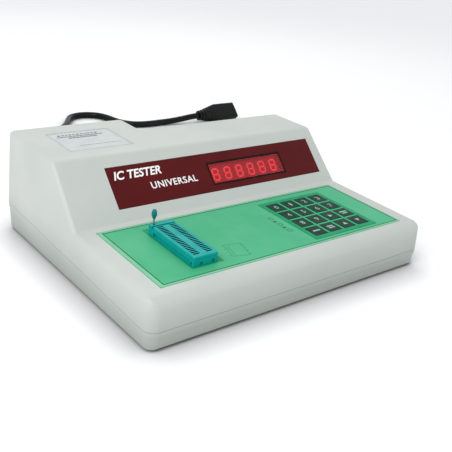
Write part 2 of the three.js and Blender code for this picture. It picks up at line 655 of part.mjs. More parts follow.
add(tester, 'fuse_holder', fuseHolder(), blackPlastic);
add(tester, 'switch_body', switchBody(), blackPlastic);
add(tester, 'switch_rocker', switchRocker(), blackPlastic);
add(tester, 'cord_gland', cordGland(), blackPlastic);
add(tester, 'power_cord', powerCord(), cordSheath);
add(tester, 'cord_connector', cordConnector(), cordSheath);

export default tester;
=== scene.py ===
import math

import bmesh
import bpy
from mathutils import Matrix, Quaternion, Vector


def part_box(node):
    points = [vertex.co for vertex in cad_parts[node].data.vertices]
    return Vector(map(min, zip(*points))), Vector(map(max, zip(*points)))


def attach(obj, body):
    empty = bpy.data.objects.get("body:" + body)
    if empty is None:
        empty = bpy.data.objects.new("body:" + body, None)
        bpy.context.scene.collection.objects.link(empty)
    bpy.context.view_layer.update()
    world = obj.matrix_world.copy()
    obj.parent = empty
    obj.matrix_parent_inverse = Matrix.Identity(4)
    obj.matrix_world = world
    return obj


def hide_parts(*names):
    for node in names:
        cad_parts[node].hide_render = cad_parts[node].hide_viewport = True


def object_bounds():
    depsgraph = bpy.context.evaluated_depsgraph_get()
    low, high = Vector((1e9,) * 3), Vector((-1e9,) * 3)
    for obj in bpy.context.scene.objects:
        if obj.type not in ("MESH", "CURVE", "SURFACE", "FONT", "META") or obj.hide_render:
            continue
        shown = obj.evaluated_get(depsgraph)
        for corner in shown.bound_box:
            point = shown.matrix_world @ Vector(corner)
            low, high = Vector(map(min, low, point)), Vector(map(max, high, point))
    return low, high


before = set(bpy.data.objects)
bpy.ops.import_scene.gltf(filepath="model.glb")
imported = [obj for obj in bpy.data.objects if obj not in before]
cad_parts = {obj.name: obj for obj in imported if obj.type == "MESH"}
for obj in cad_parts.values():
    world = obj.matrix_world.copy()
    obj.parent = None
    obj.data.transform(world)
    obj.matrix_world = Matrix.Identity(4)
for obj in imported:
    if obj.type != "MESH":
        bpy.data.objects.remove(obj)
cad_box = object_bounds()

MM = 0.001

# ---- sizes that the CAD model was designed from ----
GAP = 0.3 * MM
WALL = 2.5 * MM
PARTING_FRONT_Z = 16 * MM
PARTING_REAR_Z = 26.5 * MM
DECK_FRONT_Z = 40.6 * MM
DECK_LENGTH = 111.2 * MM
FACE_LENGTH = 61.5 * MM
DECK_TILT = math.radians(2.2)
FACE_TILT = math.radians(46.1)
TOP_TILT = math.radians(1.3)
NOTCH_X = -29 * MM
NOTCH_DEPTH = 34 * MM
SIDE_LEAN = 0.049
END_LEAN = 0.02
BASE_LEAN = 0.04
CORNER_RADIUS = 9.3 * MM
SMALLEST_RADIUS = 0.8 * MM
SWITCH_LIP = 1.4 * MM
CORD_DIAMETER = 8.6 * MM
CONNECTOR = {"y": 350.8 * MM, "z": 11.9 * MM, "width": 25 * MM, "height": 18 * MM, "chamfer": 5 * MM,
             "relief": 28 * MM}
WAYS_PER_ROW = 20
WAY_PITCH = 2.54 * MM
FIRST_WAY = 31.6 * MM
ROW_SPACING = 11.43 * MM

# ---- camera ----
CAMERA_PLACE = Vector((-0.3562, -0.4416, 0.2643))
CAMERA_AZIMUTH = math.radians(-40.17)
CAMERA_ELEVATION = math.radians(23.33)
CAMERA_ROLL = math.radians(5.38)
CAMERA_LENS = 53.9

CORD_ROUTE = [
    (-84, 159.2, 38), (-84, 173, 37.4), (-83, 191, 32.5), (-80.5, 211, 22.3), (-76, 231, 11.4),
    (-68, 251, 6), (-55, 273, 4.5), (-36, 299, 4.5), (-13, 327, 4.5), (11, 354, 4.5),
    (33, 379, 4.5), (49.5, 398, 4.5), (61.7, 417.5, 4.5), (69.4, 427.3, 4.5), (80.4, 433.2, 4.5),
    (92.8, 434.1, 4.5), (104.6, 429.8, 4.5), (113.5, 421.1, 4.5), (118.2, 409.6, 4.5),
    (120.1, 398.9, 4.5), (122, 388.3, 4.5), (128, 374.3, 4.5), (139.7, 364.5, 4.5),
    (154.5, 361, 4.5), (178, 361, 4.5), (196, 360, 5.3), (212, 356.3, 7.8), (225, 352.4, 10.6),
    (233, 351, 11.6), (237.7, 350.8, 11.9),
]

# ---- places read from the frame ----
case_low, case_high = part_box("lower_case")
HALF_WIDTH = (case_high.x - case_low.x) / 2
FRONT_Y, REAR_Y, BASE_Z = case_low.y, case_high.y, case_low.z
MIDDLE_Y = (FRONT_Y + REAR_Y) / 2
NOTCH_Y = REAR_Y - NOTCH_DEPTH


def slope_frame(origin_y, origin_z, tilt):
    """a frame whose Y runs up a slope and whose Z stands on it"""
    return Matrix.Translation((0, origin_y, origin_z)) @ Matrix.Rotation(tilt, 4, "X")


DECK = slope_frame(FRONT_Y + END_LEAN * (DECK_FRONT_Z - PARTING_FRONT_Z), DECK_FRONT_Z, DECK_TILT)
FACE = slope_frame(*(DECK @ Vector((0, DECK_LENGTH, 0))).yz, FACE_TILT)
TOP = slope_frame(*(FACE @ Vector((0, FACE_LENGTH, 0))).yz, TOP_TILT)


def local_box(node, place):
    """lowest and highest corner of a CAD node, measured along a slope's own axes"""
    inverse = place.inverted()
    points = [inverse @ vertex.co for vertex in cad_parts[node].data.vertices]
    return (Vector(map(min, *points)), Vector(map(max, *points)))


# ---- camera, floor and light ----
FLOOR_TONE = 0.95
CONTACT_REACH = 0.03  # how near a thing must be to darken the floor


def make_camera():
    data = bpy.data.cameras.new("camera")
    data.lens = CAMERA_LENS
    camera = bpy.data.objects.new("camera", data)
    back = Vector((
        math.sin(CAMERA_AZIMUTH) * math.cos(CAMERA_ELEVATION),
        -math.cos(CAMERA_AZIMUTH) * math.cos(CAMERA_ELEVATION),
        math.sin(CAMERA_ELEVATION),
    ))
    camera.rotation_mode = "QUATERNION"
    camera.rotation_quaternion = (-back).to_track_quat("-Z", "Y") @ Quaternion((0, 0, 1), CAMERA_ROLL)
    camera.location = CAMERA_PLACE
    bpy.context.scene.collection.objects.link(camera)
    bpy.context.scene.camera = camera


def area_light(name, place, target, size, watts, color=(1, 1, 1)):
    data = bpy.data.lights.new(name, "AREA")
    data.shape = "DISK"
    data.size = size
    data.energy = watts
    data.color = color
    light = bpy.data.objects.new(name, data)
    light.location = place
    light.rotation_mode = "QUATERNION"
    light.rotation_quaternion = (Vector(target) - Vector(place)).to_track_quat("-Z", "Y")
    bpy.context.scene.collection.objects.link(light)


def darken_contacts(paper, shader):
    """deepens the shadow where something stands close over the floor"""
    nodes, links = paper.node_tree.nodes, paper.node_tree.links
    occlusion = nodes.new("ShaderNodeAmbientOcclusion")
    occlusion.samples = 8
    occlusion.inputs["Distance"].default_value = CONTACT_REACH
    tone = nodes.new("ShaderNodeMapRange")
    tone.inputs["From Min"].default_value = 0.3
    tone.inputs["To Min"].default_value = 0.45 * FLOOR_TONE
    tone.inputs["To Max"].default_value = FLOOR_TONE
    links.new(occlusion.outputs["AO"], tone.inputs["Value"])
    links.new(tone.outputs["Result"], shader.inputs["Base Color"])


def make_studio():
    scene = bpy.context.scene
    scene.view_settings.view_transform = "Standard"
    world = bpy.data.worlds.new("studio")
    scene.world = world
    world.use_nodes = True
    background = world.node_tree.nodes["Background"]
    background.inputs["Color"].default_value = (0.96, 0.98, 1, 1)
    background.inputs["Strength"].default_value = 0.9
    area_light("key_light", (-0.9, -0.35, 0.9), (0, 0, 0), 0.8, 7)
    area_light("rear_light", (0.5, 1.0, 1.1), (0, 0.1, 0), 0.8, 2.5)

    mesh = bpy.data.meshes.new("floor")
    reach = 6.0
    mesh.from_pydata([(-reach, -reach, 0), (reach, -reach, 0), (reach, reach, 0), (-reach, reach, 0)],
                     [], [(0, 1, 2, 3)])
    floor = bpy.data.objects.new("floor", mesh)
    scene.collection.objects.link(floor)
    paper = bpy.data.materials.new("floor_paper")
    paper.use_nodes = True
    shader = paper.node_tree.nodes["Principled BSDF"]
    shader.inputs["Roughness"].default_value = 0.9
    darken_contacts(paper, shader)
    mesh.materials.append(paper)


# ---- materials ----
def linear(red, green, blue):
    """a colour of 0 to 255 steps, as a shader takes it"""
    def channel(value):
        value /= 255
        return value / 12.92 if value <= 0.04045 else ((value + 0.055) / 1.055) ** 2.4
    return (channel(red), channel(green), channel(blue), 1)


class Surface:
    """A procedural surface: blotches of tone and roughness, a fine grain, dulled or paler edges that carry a
    painted highlight as well as wear, and painted shade towards the floor.
    """

    def __init__(self, name, color, roughness, metallic=0.0):
        self.material = bpy.data.materials.new(name)
        self.material.use_nodes = True
        self.nodes = self.material.node_tree.nodes
        self.links = self.material.node_tree.links
        self.shader = self.nodes["Principled BSDF"]
        self.color = color
        self.roughness = roughness
        self.shader.inputs["Base Color"].default_value = color
        self.shader.inputs["Roughness"].default_value = roughness
        self.shader.inputs["Metallic"].default_value = metallic
        self.coordinates = self.nodes.new("ShaderNodeTexCoord").outputs["Object"]
        self.color_output = None

    def noise(self, size, detail=3.0, stretch=(1, 1, 1)):
        """noise whose features are about `size` metres across"""
        mapping = self.nodes.new("ShaderNodeMapping")
        mapping.inputs["Scale"].default_value = [1 / (size * axis) for axis in stretch]
        self.links.new(self.coordinates, mapping.inputs["Vector"])
        texture = self.nodes.new("ShaderNodeTexNoise")
        texture.inputs["Scale"].default_value = 1.0
        texture.inputs["Detail"].default_value = detail
        self.links.new(mapping.outputs["Vector"], texture.inputs["Vector"])
        return texture.outputs["Fac"]

    def remap(self, value, low, high, new_low, new_high):
        node = self.nodes.new("ShaderNodeMapRange")
        limits = (("From Min", low), ("From Max", high), ("To Min", new_low), ("To Max", new_high))
        for name, number in limits:
            node.inputs[name].default_value = number
        self.links.new(value, node.inputs["Value"])
        return node.outputs["Result"]

    def blend_color(self, factor, color):
        """mixes another colour over what is there, by factor"""
        node = self.nodes.new("ShaderNodeMix")
        node.data_type = "RGBA"
        self.links.new(factor, node.inputs["Factor"])
        if self.color_output is None:
            node.inputs["A"].default_value = self.color
        else:
            self.links.new(self.color_output, node.inputs["A"])
        node.inputs["B"].default_value = color
        self.color_output = node.outputs["Result"]
        self.links.new(self.color_output, self.shader.inputs["Base Color"])
        return self

    def blotches(self, size, color, strength=0.5, roughness_change=0.08):
        value = self.noise(size)
        self.blend_color(self.remap(value, 0.4, 0.65, 0, strength), color)
        low, high = self.roughness - roughness_change, self.roughness + roughness_change
        self.links.new(self.remap(value, 0.35, 0.65, low, high), self.shader.inputs["Roughness"])
        return self

    def grain(self, size, depth, detail=2.0, stretch=(1, 1, 1)):
        bump = self.nodes.new("ShaderNodeBump")
        bump.inputs["Distance"].default_value = depth
        bump.inputs["Strength"].default_value = 1.0
        self.links.new(self.noise(size, detail, stretch), bump.inputs["Height"])
        self.links.new(bump.outputs["Normal"], self.shader.inputs["Normal"])
        return self

    def edges(self, width, color, strength):
        """edges of another tone where a rounded normal leaves the true one: paler in every use here, partly
        wear and partly a painted highlight
        """
        rounded = self.nodes.new("ShaderNodeBevel")
        rounded.samples = 4
        rounded.inputs["Radius"].default_value = width
        geometry = self.nodes.new("ShaderNodeNewGeometry")
        dot = self.nodes.new("ShaderNodeVectorMath")
        dot.operation = "DOT_PRODUCT"
        self.links.new(rounded.outputs["Normal"], dot.inputs[0])
        self.links.new(geometry.outputs["Normal"], dot.inputs[1])
        # the edge tone is a painted highlight along with wear
        self.blend_color(self.remap(dot.outputs["Value"], 0.98, 0.8, 0, strength), color)
        return self

    def darker_foot(self, height, color, strength):
        """painted shade: another tone towards the table, fading out at `height`"""
        axes = self.nodes.new("ShaderNodeSeparateXYZ")
        self.links.new(self.coordinates, axes.inputs["Vector"])
        return self.blend_color(self.remap(axes.outputs["Z"], 0, height, strength, 0), color)

    def set(self, **inputs):
        for name, value in inputs.items():
            self.shader.inputs[name.replace("_", " ")].default_value = value
        return self


def two_tone(name, color, roughness, patches, grain, specular=0.5, metallic=0.0, stretch=(1, 1, 1)):
    """a surface with patches (size in mm, colour, strength) and a grain (size and depth in mm)"""
    size, second, strength = patches
    made = Surface(name, linear(*color), roughness, metallic)
    made.blotches(size * MM, linear(*second), strength)
    made.grain(grain[0] * MM, grain[1] * MM, stretch=stretch)
    return made.set(Specular_IOR_Level=specular)


def make_surfaces():
    case = two_tone("case_plastic", (185, 189, 184), 0.45, (60, (179, 184, 179), 0.6), (0.45, 0.02))
    # paler case edges: a painted highlight along with wear
    case.edges(0.5 * MM, linear(202, 205, 199), 0.6)
    # painted shade: the case grows darker towards the table, where less light reaches it
    case.darker_foot(38 * MM, linear(146, 153, 146), 0.85)
    black = two_tone("black_plastic", (22, 23, 25), 0.42, (10, (30, 31, 33), 0.6), (0.4, 0.02))
    # paler black edges: a painted highlight along with wear
    black.edges(0.3 * MM, linear(58, 60, 62), 0.5)
    sheath = two_tone("cord_sheath", (6, 8, 8), 0.3, (9, (11, 13, 13), 0.7), (0.6, 0.02), 0.18)
    rubber = two_tone("foot_rubber", (26, 26, 26), 0.8, (4, (38, 37, 36), 0.5), (0.5, 0.03))

    panel = two_tone("panel_print", (86, 20, 22), 0.38, (25, (78, 18, 20), 0.7), (0.3, 0.008), 0.08)
    bezel = two_tone("bezel_print", (24, 9, 11), 0.4, (10, (18, 8, 10), 0.5), (0.3, 0.008), 0.1)
    lettering = two_tone("panel_lettering", (240, 240, 238), 0.45, (3, (226, 226, 224), 0.5), (0.2, 0.005))
    glass = Surface("display_filter_red", linear(172, 30, 38), 0.12)
    glass.blotches(30 * MM, linear(158, 26, 34), 0.5, 0.03).set(Alpha=0.5)
    segment = Surface("digit_segment_lit", linear(255, 90, 110), 0.3)
    segment.blotches(2 * MM, linear(250, 70, 92), 0.6)
    segment.set(Emission_Color=linear(255, 62, 70), Emission_Strength=1.7)
    reflector = two_tone("digit_reflector", (120, 12, 20), 0.45, (3, (106, 10, 18), 0.6), (0.2, 0.01))
    # painted light: the reflector block glows faintly as if lit by the segments, though it is no lamp
    reflector.set(Emission_Color=linear(200, 16, 24), Emission_Strength=0.28)

    overlay = two_tone("overlay_print", (72, 172, 126), 0.4, (30, (66, 166, 120), 0.6), (0.35, 0.01), 0.12)
    margin = two_tone("overlay_margin", (118, 188, 148), 0.42, (20, (110, 180, 140), 0.6), (0.35, 0.01), 0.12)
    line = two_tone("overlay_line", (18, 96, 64), 0.42, (8, (14, 86, 56), 0.5), (0.35, 0.008), 0.12)
    faint = two_tone("overlay_faint_line", (48, 142, 100), 0.42, (8, (42, 134, 92), 0.5), (0.35, 0.008), 0.12)
    # darker green for the socket's patch and the keypad's frame: painted shade of the wells under the film
    zone = two_tone("overlay_painted_well_shade", (16, 146, 98), 0.4, (12, (14, 136, 90), 0.7), (0.35, 0.01), 0.1)
    grid = two_tone("keypad_grid", (58, 174, 122), 0.4, (10, (52, 164, 114), 0.6), (0.35, 0.01), 0.1)
    keys = two_tone("key_plastic", (14, 52, 40), 0.42, (6, (12, 46, 36), 0.6), (0.25, 0.01), 0.1)
    # paler key edges: a painted glint along with wear
    keys.edges(0.3 * MM, linear(34, 88, 68), 0.6)
    legend = two_tone("legend_print", (150, 190, 170), 0.5, (3, (134, 174, 154), 0.5), (0.2, 0.005))

    socket = two_tone("socket_plastic", (8, 158, 152), 0.36, (8, (8, 146, 144), 0.6), (0.3, 0.012), 0.12)
    # paler socket edges: a painted highlight along with wear
    socket.edges(0.35 * MM, linear(50, 180, 174), 0.6)
    knob = two_tone("knob_plastic", (6, 118, 116), 0.4, (4, (6, 106, 106), 0.6), (0.3, 0.012), 0.15)
    # dark slot walls: painted shade inside the slots
    slot = two_tone("socket_slot_painted_shade", (4, 66, 70), 0.5, (2, (4, 54, 60), 0.6), (0.2, 0.01), 0.05)
    contact = two_tone("contact_spring", (70, 60, 44), 0.45, (1, (50, 42, 30), 0.5), (0.2, 0.01), metallic=1)
    steel = two_tone("bright_steel", (196, 198, 202), 0.25, (3, (168, 170, 176), 0.6), (0.15, 0.01),
                     metallic=1, stretch=(1, 1, 8))

    label = two_tone("label_foil", (186, 190, 188), 0.42, (15, (180, 185, 184), 0.6), (0.3, 0.006))
    outline = two_tone("label_outline", (146, 156, 166), 0.45, (6, (136, 146, 156), 0.6), (0.3, 0.004))
    ink = two_tone("label_ink", (74, 80, 90), 0.5, (2, (104, 110, 118), 0.6), (0.2, 0.004))

    board = two_tone("board_lacquer", (22, 96, 62), 0.35, (14, (16, 80, 52), 0.8), (0.8, 0.01))
    sleeve = two_tone("capacitor_sleeve", (38, 48, 74), 0.35, (8, (30, 40, 64), 0.5), (0.6, 0.01))
    core = two_tone("core_steel", (92, 94, 98), 0.5, (9, (70, 62, 54), 0.7), (0.5, 0.03),
                    metallic=0.7, stretch=(8, 1, 8))
    tape = two_tone("coil_tape", (186, 140, 48), 0.4, (8, (166, 120, 38), 0.7), (1.2, 0.03),
                    stretch=(8, 8, 1))
    aluminium = two_tone("dull_aluminium", (170, 172, 176), 0.45, (6, (140, 142, 148), 0.6), (0.3, 0.02),
                         metallic=1, stretch=(1, 1, 10))
    return {name: value.material for name, value in locals().items()}


# ---- mesh tools ----
def add_object(name, mesh):
    made = bpy.data.objects.new(name, mesh)
    bpy.context.scene.collection.objects.link(made)
    return made


def mesh_of(bm, name="mesh"):
    bmesh.ops.recalc_face_normals(bm, faces=bm.faces)
    mesh = bpy.data.meshes.new(name)
    bm.to_mesh(mesh)
    bm.free()
    return mesh


def bake(made):
    """puts an object's modifiers into its mesh"""
    evaluated = made.evaluated_get(bpy.context.evaluated_depsgraph_get())
    mesh = bpy.data.meshes.new_from_object(evaluated)
    made.modifiers.clear()
    made.data = mesh
    return made


def boolean(made, tools, operation="DIFFERENCE"):
    """cuts the solids in a list of bmeshes out of an object, or joins them to it"""
    other = add_object("tool", mesh_of(combined(tools)))
    modifier = made.modifiers.new("boolean", "BOOLEAN")
    modifier.operation = operation
    modifier.solver = "EXACT"
    modifier.use_self = True
    modifier.object = other
    bake(made)
    bpy.data.objects.remove(other)
    return made


def soften(made, width, segments=2, angle=32):
    modifier = made.modifiers.new("soften", "BEVEL")
    modifier.width = width
    modifier.segments = segments
    modifier.limit_method = "ANGLE"
    modifier.angle_limit = math.radians(angle)
    modifier.use_clamp_overlap = True
    return bake(made)


def finish_piece(made, material, body, slot, replaces=(), smooth=38):
    made.data.materials.clear()
    made.data.materials.append(material)
    made.data.shade_smooth()
    made.data.set_sharp_from_angle(angle=math.radians(smooth))
    weighted = made.modifiers.new("weighted_normals", "WEIGHTED_NORMAL")
    weighted.keep_sharp = True
    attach(made, body)
    if replaces:
        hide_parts(*replaces)
    return made


def loft(rings, cap=True):
    """skins rings that have equally many points, and closes both ends"""
    bm = bmesh.new()
    loops = [[bm.verts.new(point) for point in ring] for ring in rings]
    count = len(loops[0])
    for lower, upper in zip(loops, loops[1:]):
        for i in range(count):
            j = (i + 1) % count
            bm.faces.new((lower[i], lower[j], upper[j], upper[i]))
    if cap:
        bm.faces.new(loops[0][::-1])
        bm.faces.new(loops[-1])
    return bm


def full_turn(sides):
    return [2 * math.pi * i / sides for i in range(sides)]


def quarter_turn(steps):
    return [math.pi / 2 * k / steps for k in range(steps + 1)]


def rounded_rect(x0, x1, y0, y1, z, radius, steps=5):
    radius = max(radius, 0.01 * MM)
    centres = [(x1 - radius, y1 - radius, 0), (x0 + radius, y1 - radius, 1),
               (x0 + radius, y0 + radius, 2), (x1 - radius, y0 + radius, 3)]
    ring = []
    for x, y, quarter in centres:
        for k in range(steps + 1):
            angle = (quarter + k / steps) * math.pi / 2
            ring.append(Vector((x + radius * math.cos(angle), y + radius * math.sin(angle), z)))
    return ring


def slab(x0, x1, y0, y1, z0, z1, corner=0.0, top=0.0, bottom=0.0, steps=4):
    """a plate with rounded corners, whose upper and lower edges may be rounded too"""
    levels = [(z0, 0), (z1, 0)]
    if bottom:
        levels[:1] = [(z0 + bottom * (1 - math.cos(a)), bottom * (1 - math.sin(a)))
                      for a in quarter_turn(steps)]
    if top:
        levels[-1:] = [(z1 - top * (1 - math.sin(a)), top * (1 - math.cos(a)))
                       for a in quarter_turn(steps)]
    return loft([rounded_rect(x0 + d, x1 - d, y0 + d, y1 - d, z, corner - d) for z, d in levels])


def box_solid(low, high):
    return slab(low[0], high[0], low[1], high[1], low[2], high[2], steps=1)


def turned(profile, sides=32):
    """a round solid about Z from (radius, height) pairs; the ends may lie on the axis"""
    rings = []
    for radius, height in profile:
        radius = max(radius, 0.002 * MM)
        rings.append([Vector((radius * math.cos(a), radius * math.sin(a), height)) for a in full_turn(sides)])
    return loft(rings)


def moved(bm, matrix):
    bmesh.ops.transform(bm, matrix=matrix, verts=bm.verts)
    return bm


def add_solid(name, bm, place):
    """an object from a solid that was built along the axes of a place"""
    return add_object(name, mesh_of(moved(bm, place)))


def plate(name, node, place, corner, top, bottom=0.0):
    """an object that fills a CAD node's box on a slope, its corners and edges rounded"""
    low, high = local_box(node, place)
    return add_solid(name, slab(low.x, high.x, low.y, high.y, low.z, high.z, corner, top, bottom), place)


def opening_over(low, high, place, down=9 * MM, up=9 * MM):
    """a cutter for the opening that a piece stands in, wider than it by the gap all round"""
    return moved(box_solid((low.x - GAP, low.y - GAP, -down), (high.x + GAP, high.y + GAP, up)), place)


def combined(parts):
    """several separate solids in one bmesh"""
    merged = bmesh.new()
    for part in parts:
        mesh = mesh_of(part)
        merged.from_mesh(mesh)
        bpy.data.meshes.remove(mesh)
    return merged


def arc_profile(radius_x, radius_z, centre_x, centre_z, start, end, steps=6):
    """(radius, height) points along an elliptical arc, its angles in degrees"""
    points = []
    for k in range(steps + 1):
        angle = math.radians(start + (end - start) * k / steps)
        points.append((centre_x + radius_x * math.cos(angle), centre_z + radius_z * math.sin(angle)))
    return points


UP_TO_BACK = Matrix.Rotation(math.radians(-90), 4, "X")  # turns +Z into +Y
UP_TO_RIGHT = Matrix.Rotation(math.radians(90), 4, "Y")  # turns +Z into +X


def standing(low, high, z):
    """the upright line through the middle of a box, from height z"""
    return Matrix.Translation(((low.x + high.x) / 2, (low.y + high.y) / 2, z))


def backwards(low, high, y=0.0):
    """the line through the middle of a box that runs back along +Y"""
    return Matrix.Translation(((low.x + high.x) / 2, y, (low.z + high.z) / 2)) @ UP_TO_BACK


# ---- case ----
def parting_z(y):
    share = (y - FRONT_Y) / (REAR_Y - FRONT_Y)
    return PARTING_FRONT_Z + share * (PARTING_REAR_Z - PARTING_FRONT_Z)


def inset_outline(points, distance):
    """moves every side of an anticlockwise outline inwards"""
    moved_points = []
    for i, corner in enumerate(points):
        before = (corner - points[i - 1]).normalized()
        after = (points[(i + 1) % len(points)] - corner).normalized()
        normal = Vector((-before.y, before.x))
        mitre = (normal + Vector((-after.y, after.x))).normalized()
        moved_points.append(corner + mitre * (distance / mitre.dot(normal)))
    return moved_points


def side_outline(rear_y, inset, low):
    """(y, z) corners of the upper case's side, anticlockwise from the foot of its front"""
    deck_front, face_foot, face_top = ((m @ Vector((0, 0, 0))).yz for m in (DECK, FACE, TOP))
    top_rear_z = face_top.y + (rear_y - face_top.x) * math.tan(TOP_TILT)
    front_low = parting_z(FRONT_Y) + low
    rear_low = parting_z(rear_y) + low
    points = [
        Vector((FRONT_Y + END_LEAN * (front_low - PARTING_FRONT_Z), front_low)),
        Vector((rear_y - END_LEAN * (rear_low - parting_z(rear_y)), rear_low)),
        Vector((rear_y - END_LEAN * (top_rear_z - parting_z(rear_y)), top_rear_z)),
        face_top, face_foot, deck_front,
    ]
    return inset_outline(points, inset)


def weighted_bevel(bm, radii, segments):
    """an object whose listed edges are rounded, each to its own radius"""
    bm.edges.ensure_lookup_table()
    bm.normal_update()
    bmesh.ops.recalc_face_normals(bm, faces=bm.faces)
    layer = bm.edges.layers.float.new("bevel_weight_edge")
    width = max(radii.values())
    for (a, b), radius in radii.items():
        edge = bm.edges.get((a, b))
        turn = edge.calc_face_angle()
        edge[layer] = radius * math.tan(turn / 2) / width
    made = add_object("case_solid", mesh_of(bm))
    modifier = made.modifiers.new("rounding", "BEVEL")
    modifier.limit_method = "WEIGHT"
    modifier.width = width
    modifier.segments = segments
    modifier.use_clamp_overlap = False
    return bake(made)


def upper_solid(inset, low, segments):
    """the upper case as one solid, its walls moved inwards by inset"""
    deep, shallow = side_outline(REAR_Y, inset, low), side_outline(NOTCH_Y, inset, low)
    half, notch = HALF_WIDTH - inset, NOTCH_X - inset
    bm = bmesh.new()

    def vertex(x, point):
        y, z = point
        return bm.verts.new((x * (1 - (z - parting_z(y)) * SIDE_LEAN / HALF_WIDTH), y, z))

    left = [vertex(-half, point) for point in deep]
    right = [vertex(half, point) for point in shallow]
    outer = [vertex(notch, deep[i]) for i in (1, 2)]
    inner = [vertex(notch, shallow[i]) for i in (1, 2)]
    bm.faces.new(left)
    bm.faces.new(right[::-1])
    for i, j in ((0, 5), (5, 4), (4, 3)):
        bm.faces.new((left[i], right[i], right[j], left[j]))
    bm.faces.new((left[3], right[3], right[2], inner[1], outer[1], left[2]))
    bm.faces.new((right[2], right[1], inner[0], inner[1]))
    bm.faces.new((inner[1], inner[0], outer[0], outer[1]))
    bm.faces.new((outer[1], outer[0], left[1], left[2]))
    bm.faces.new((left[0], left[1], outer[0], inner[0], right[1], right[0]))

    wanted = (CORNER_RADIUS, 4 * MM, 9 * MM, 5.5 * MM)
    corner, side, top_front, rear = (max(radius - inset, SMALLEST_RADIUS) for radius in wanted)
    radii = {
        (left[0], left[5]): corner, (right[0], right[5]): corner,
        (left[1], left[2]): corner, (right[1], right[2]): corner,
        (outer[0], outer[1]): corner / 2, (inner[0], inner[1]): 3 * MM,
        (left[5], right[5]): top_front, (left[4], right[4]): 3 * MM, (left[3], right[3]): 6 * MM,
        (right[2], inner[1]): rear, (outer[1], left[2]): rear, (inner[1], outer[1]): side,
    }
    for column in (left, right):
        for i, j in ((5, 4), (4, 3), (3, 2)):
            radii[(column[i], column[j])] = side
    return weighted_bevel(bm, radii, segments)


def lower_solid(inset, bottom, drop, segments):
    """the lower case as one solid, its top `drop` under the parting plane"""
    half = HALF_WIDTH - inset
    notch, notch_y = NOTCH_X - inset, NOTCH_Y - inset
    front, rear = FRONT_Y + inset, REAR_Y - inset
    plan = [(-half, front), (half, front), (half, notch_y), (notch, notch_y), (notch, rear), (-half, rear)]
    bm = bmesh.new()

    def vertex(x, y, z):
        away = parting_z(y) - z
        shift = math.copysign(away * BASE_LEAN, y - MIDDLE_Y)
        return bm.verts.new((x * (1 - away * BASE_LEAN / HALF_WIDTH), y - shift, z))

    upper = [vertex(x, y, parting_z(y) - drop) for x, y in plan]
    lower = [vertex(x, y, bottom) for x, y in plan]
    bm.faces.new(upper)
    bm.faces.new(lower[::-1])
    corner = max(CORNER_RADIUS - inset, SMALLEST_RADIUS)
    corner_radii = [corner, corner, corner, 3 * MM, corner / 2, corner]
    radii = {}
    for i in range(6):
        j = (i + 1) % 6
        bm.faces.new((upper[i], lower[i], lower[j], upper[j]))
        radii[(upper[i], lower[i])] = corner_radii[i]
        radii[(lower[i], lower[j])] = 2 * MM
    return weighted_bevel(bm, radii, segments)


def as_bmesh(made):
    """takes an object apart again into a bmesh"""
    bm = bmesh.new()
    bm.from_mesh(made.data)
    bpy.data.objects.remove(made)
    return bm


def node_cutter(node, place, reach_down, reach_up, margin=GAP, corner=0.0):
    """a box over a CAD node, for cutting its opening into the case"""
    low, high = local_box(node, place)
    box = slab(low.x - margin, high.x + margin, low.y - margin, high.y + margin,
               low.z - reach_down, high.z + reach_up, corner, steps=6)
    return moved(box, place)


def rear_hole(node, radius):
    low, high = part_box(node)
    return moved(turned([(radius, -9 * MM), (radius, 9 * MM)]), backwards(low, high, REAR_Y))


def make_upper_case(surfaces):
    case = upper_solid(0, GAP / 2, 10)
    boolean(case, [as_bmesh(upper_solid(WALL, -4 * WALL, 4))])
    keypad_low, keypad_high = local_box("keypad_frame", DECK)
    socket_low, socket_high = local_box("socket_base", DECK)
    well = moved(box_solid((socket_low.x - 1.7 * MM, socket_low.y - 2 * MM, -10 * MM),
                           (socket_high.x + 4.8 * MM, socket_high.y + 6.5 * MM, 8 * MM)), DECK)
    switch_low, switch_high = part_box("switch_body")
    flange = SWITCH_LIP - GAP
    boolean(case, [
        node_cutter("deck_overlay", DECK, GAP, 8 * MM),
        opening_over(keypad_low, keypad_high, DECK, 10 * MM, 8 * MM),
        well,
        node_cutter("display_panel", FACE, GAP, 8 * MM),
        node_cutter("display_filter", FACE, 10 * MM, 8 * MM),
        node_cutter("rating_label", TOP, GAP, 8 * MM, corner=3 * MM),
        rear_hole("cord_gland", 5.3 * MM),
        rear_hole("fuse_holder", 6.3 * MM),
        box_solid((switch_low.x + flange, REAR_Y - 9 * MM, switch_low.z + flange),
                  (switch_high.x - flange, REAR_Y + 9 * MM, switch_high.z - flange)),
    ])
    case.name = "upper_case_shell"
    soften(case, 0.3 * MM)
    finish_piece(case, surfaces["case"], "case", "case", ["upper_case"])


LEDGE_DROP = 4.2 * MM  # the fine ledge runs this far under the parting line
LEDGE_DEPTH = 0.35 * MM


def make_lower_case(surfaces):
    case = lower_solid(0, BASE_Z, GAP / 2, 10)
    band_tilt = math.atan2(PARTING_REAR_Z - PARTING_FRONT_Z, REAR_Y - FRONT_Y)
    below = moved(box_solid((-0.3, -0.3, -0.1), (0.3, 0.3, 0)),
                  Matrix.Translation((0, 0, parting_z(0) - LEDGE_DROP)) @ Matrix.Rotation(band_tilt, 4, "X"))
    collar = add_object("collar", mesh_of(below))
    boolean(collar, [as_bmesh(lower_solid(LEDGE_DEPTH, BASE_Z - 2 * MM, -4 * MM, 10))])
    boolean(case, [as_bmesh(collar)])
    boolean(case, [as_bmesh(lower_solid(WALL, BASE_Z + WALL, -4 * MM, 4))])
    wells = []
    for i in range(4):
        low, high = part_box(f"case_screw_{i}")
        place = standing(low, high, 0)
        wells.append(moved(turned([(3.7 * MM, 0), (3.7 * MM, high.z - 17 * MM)]), place))
    boolean(case, wells)
    case.name = "lower_case_shell"
    soften(case, 0.3 * MM)
    finish_piece(case, surfaces["case"], "case", "case", ["lower_case"])


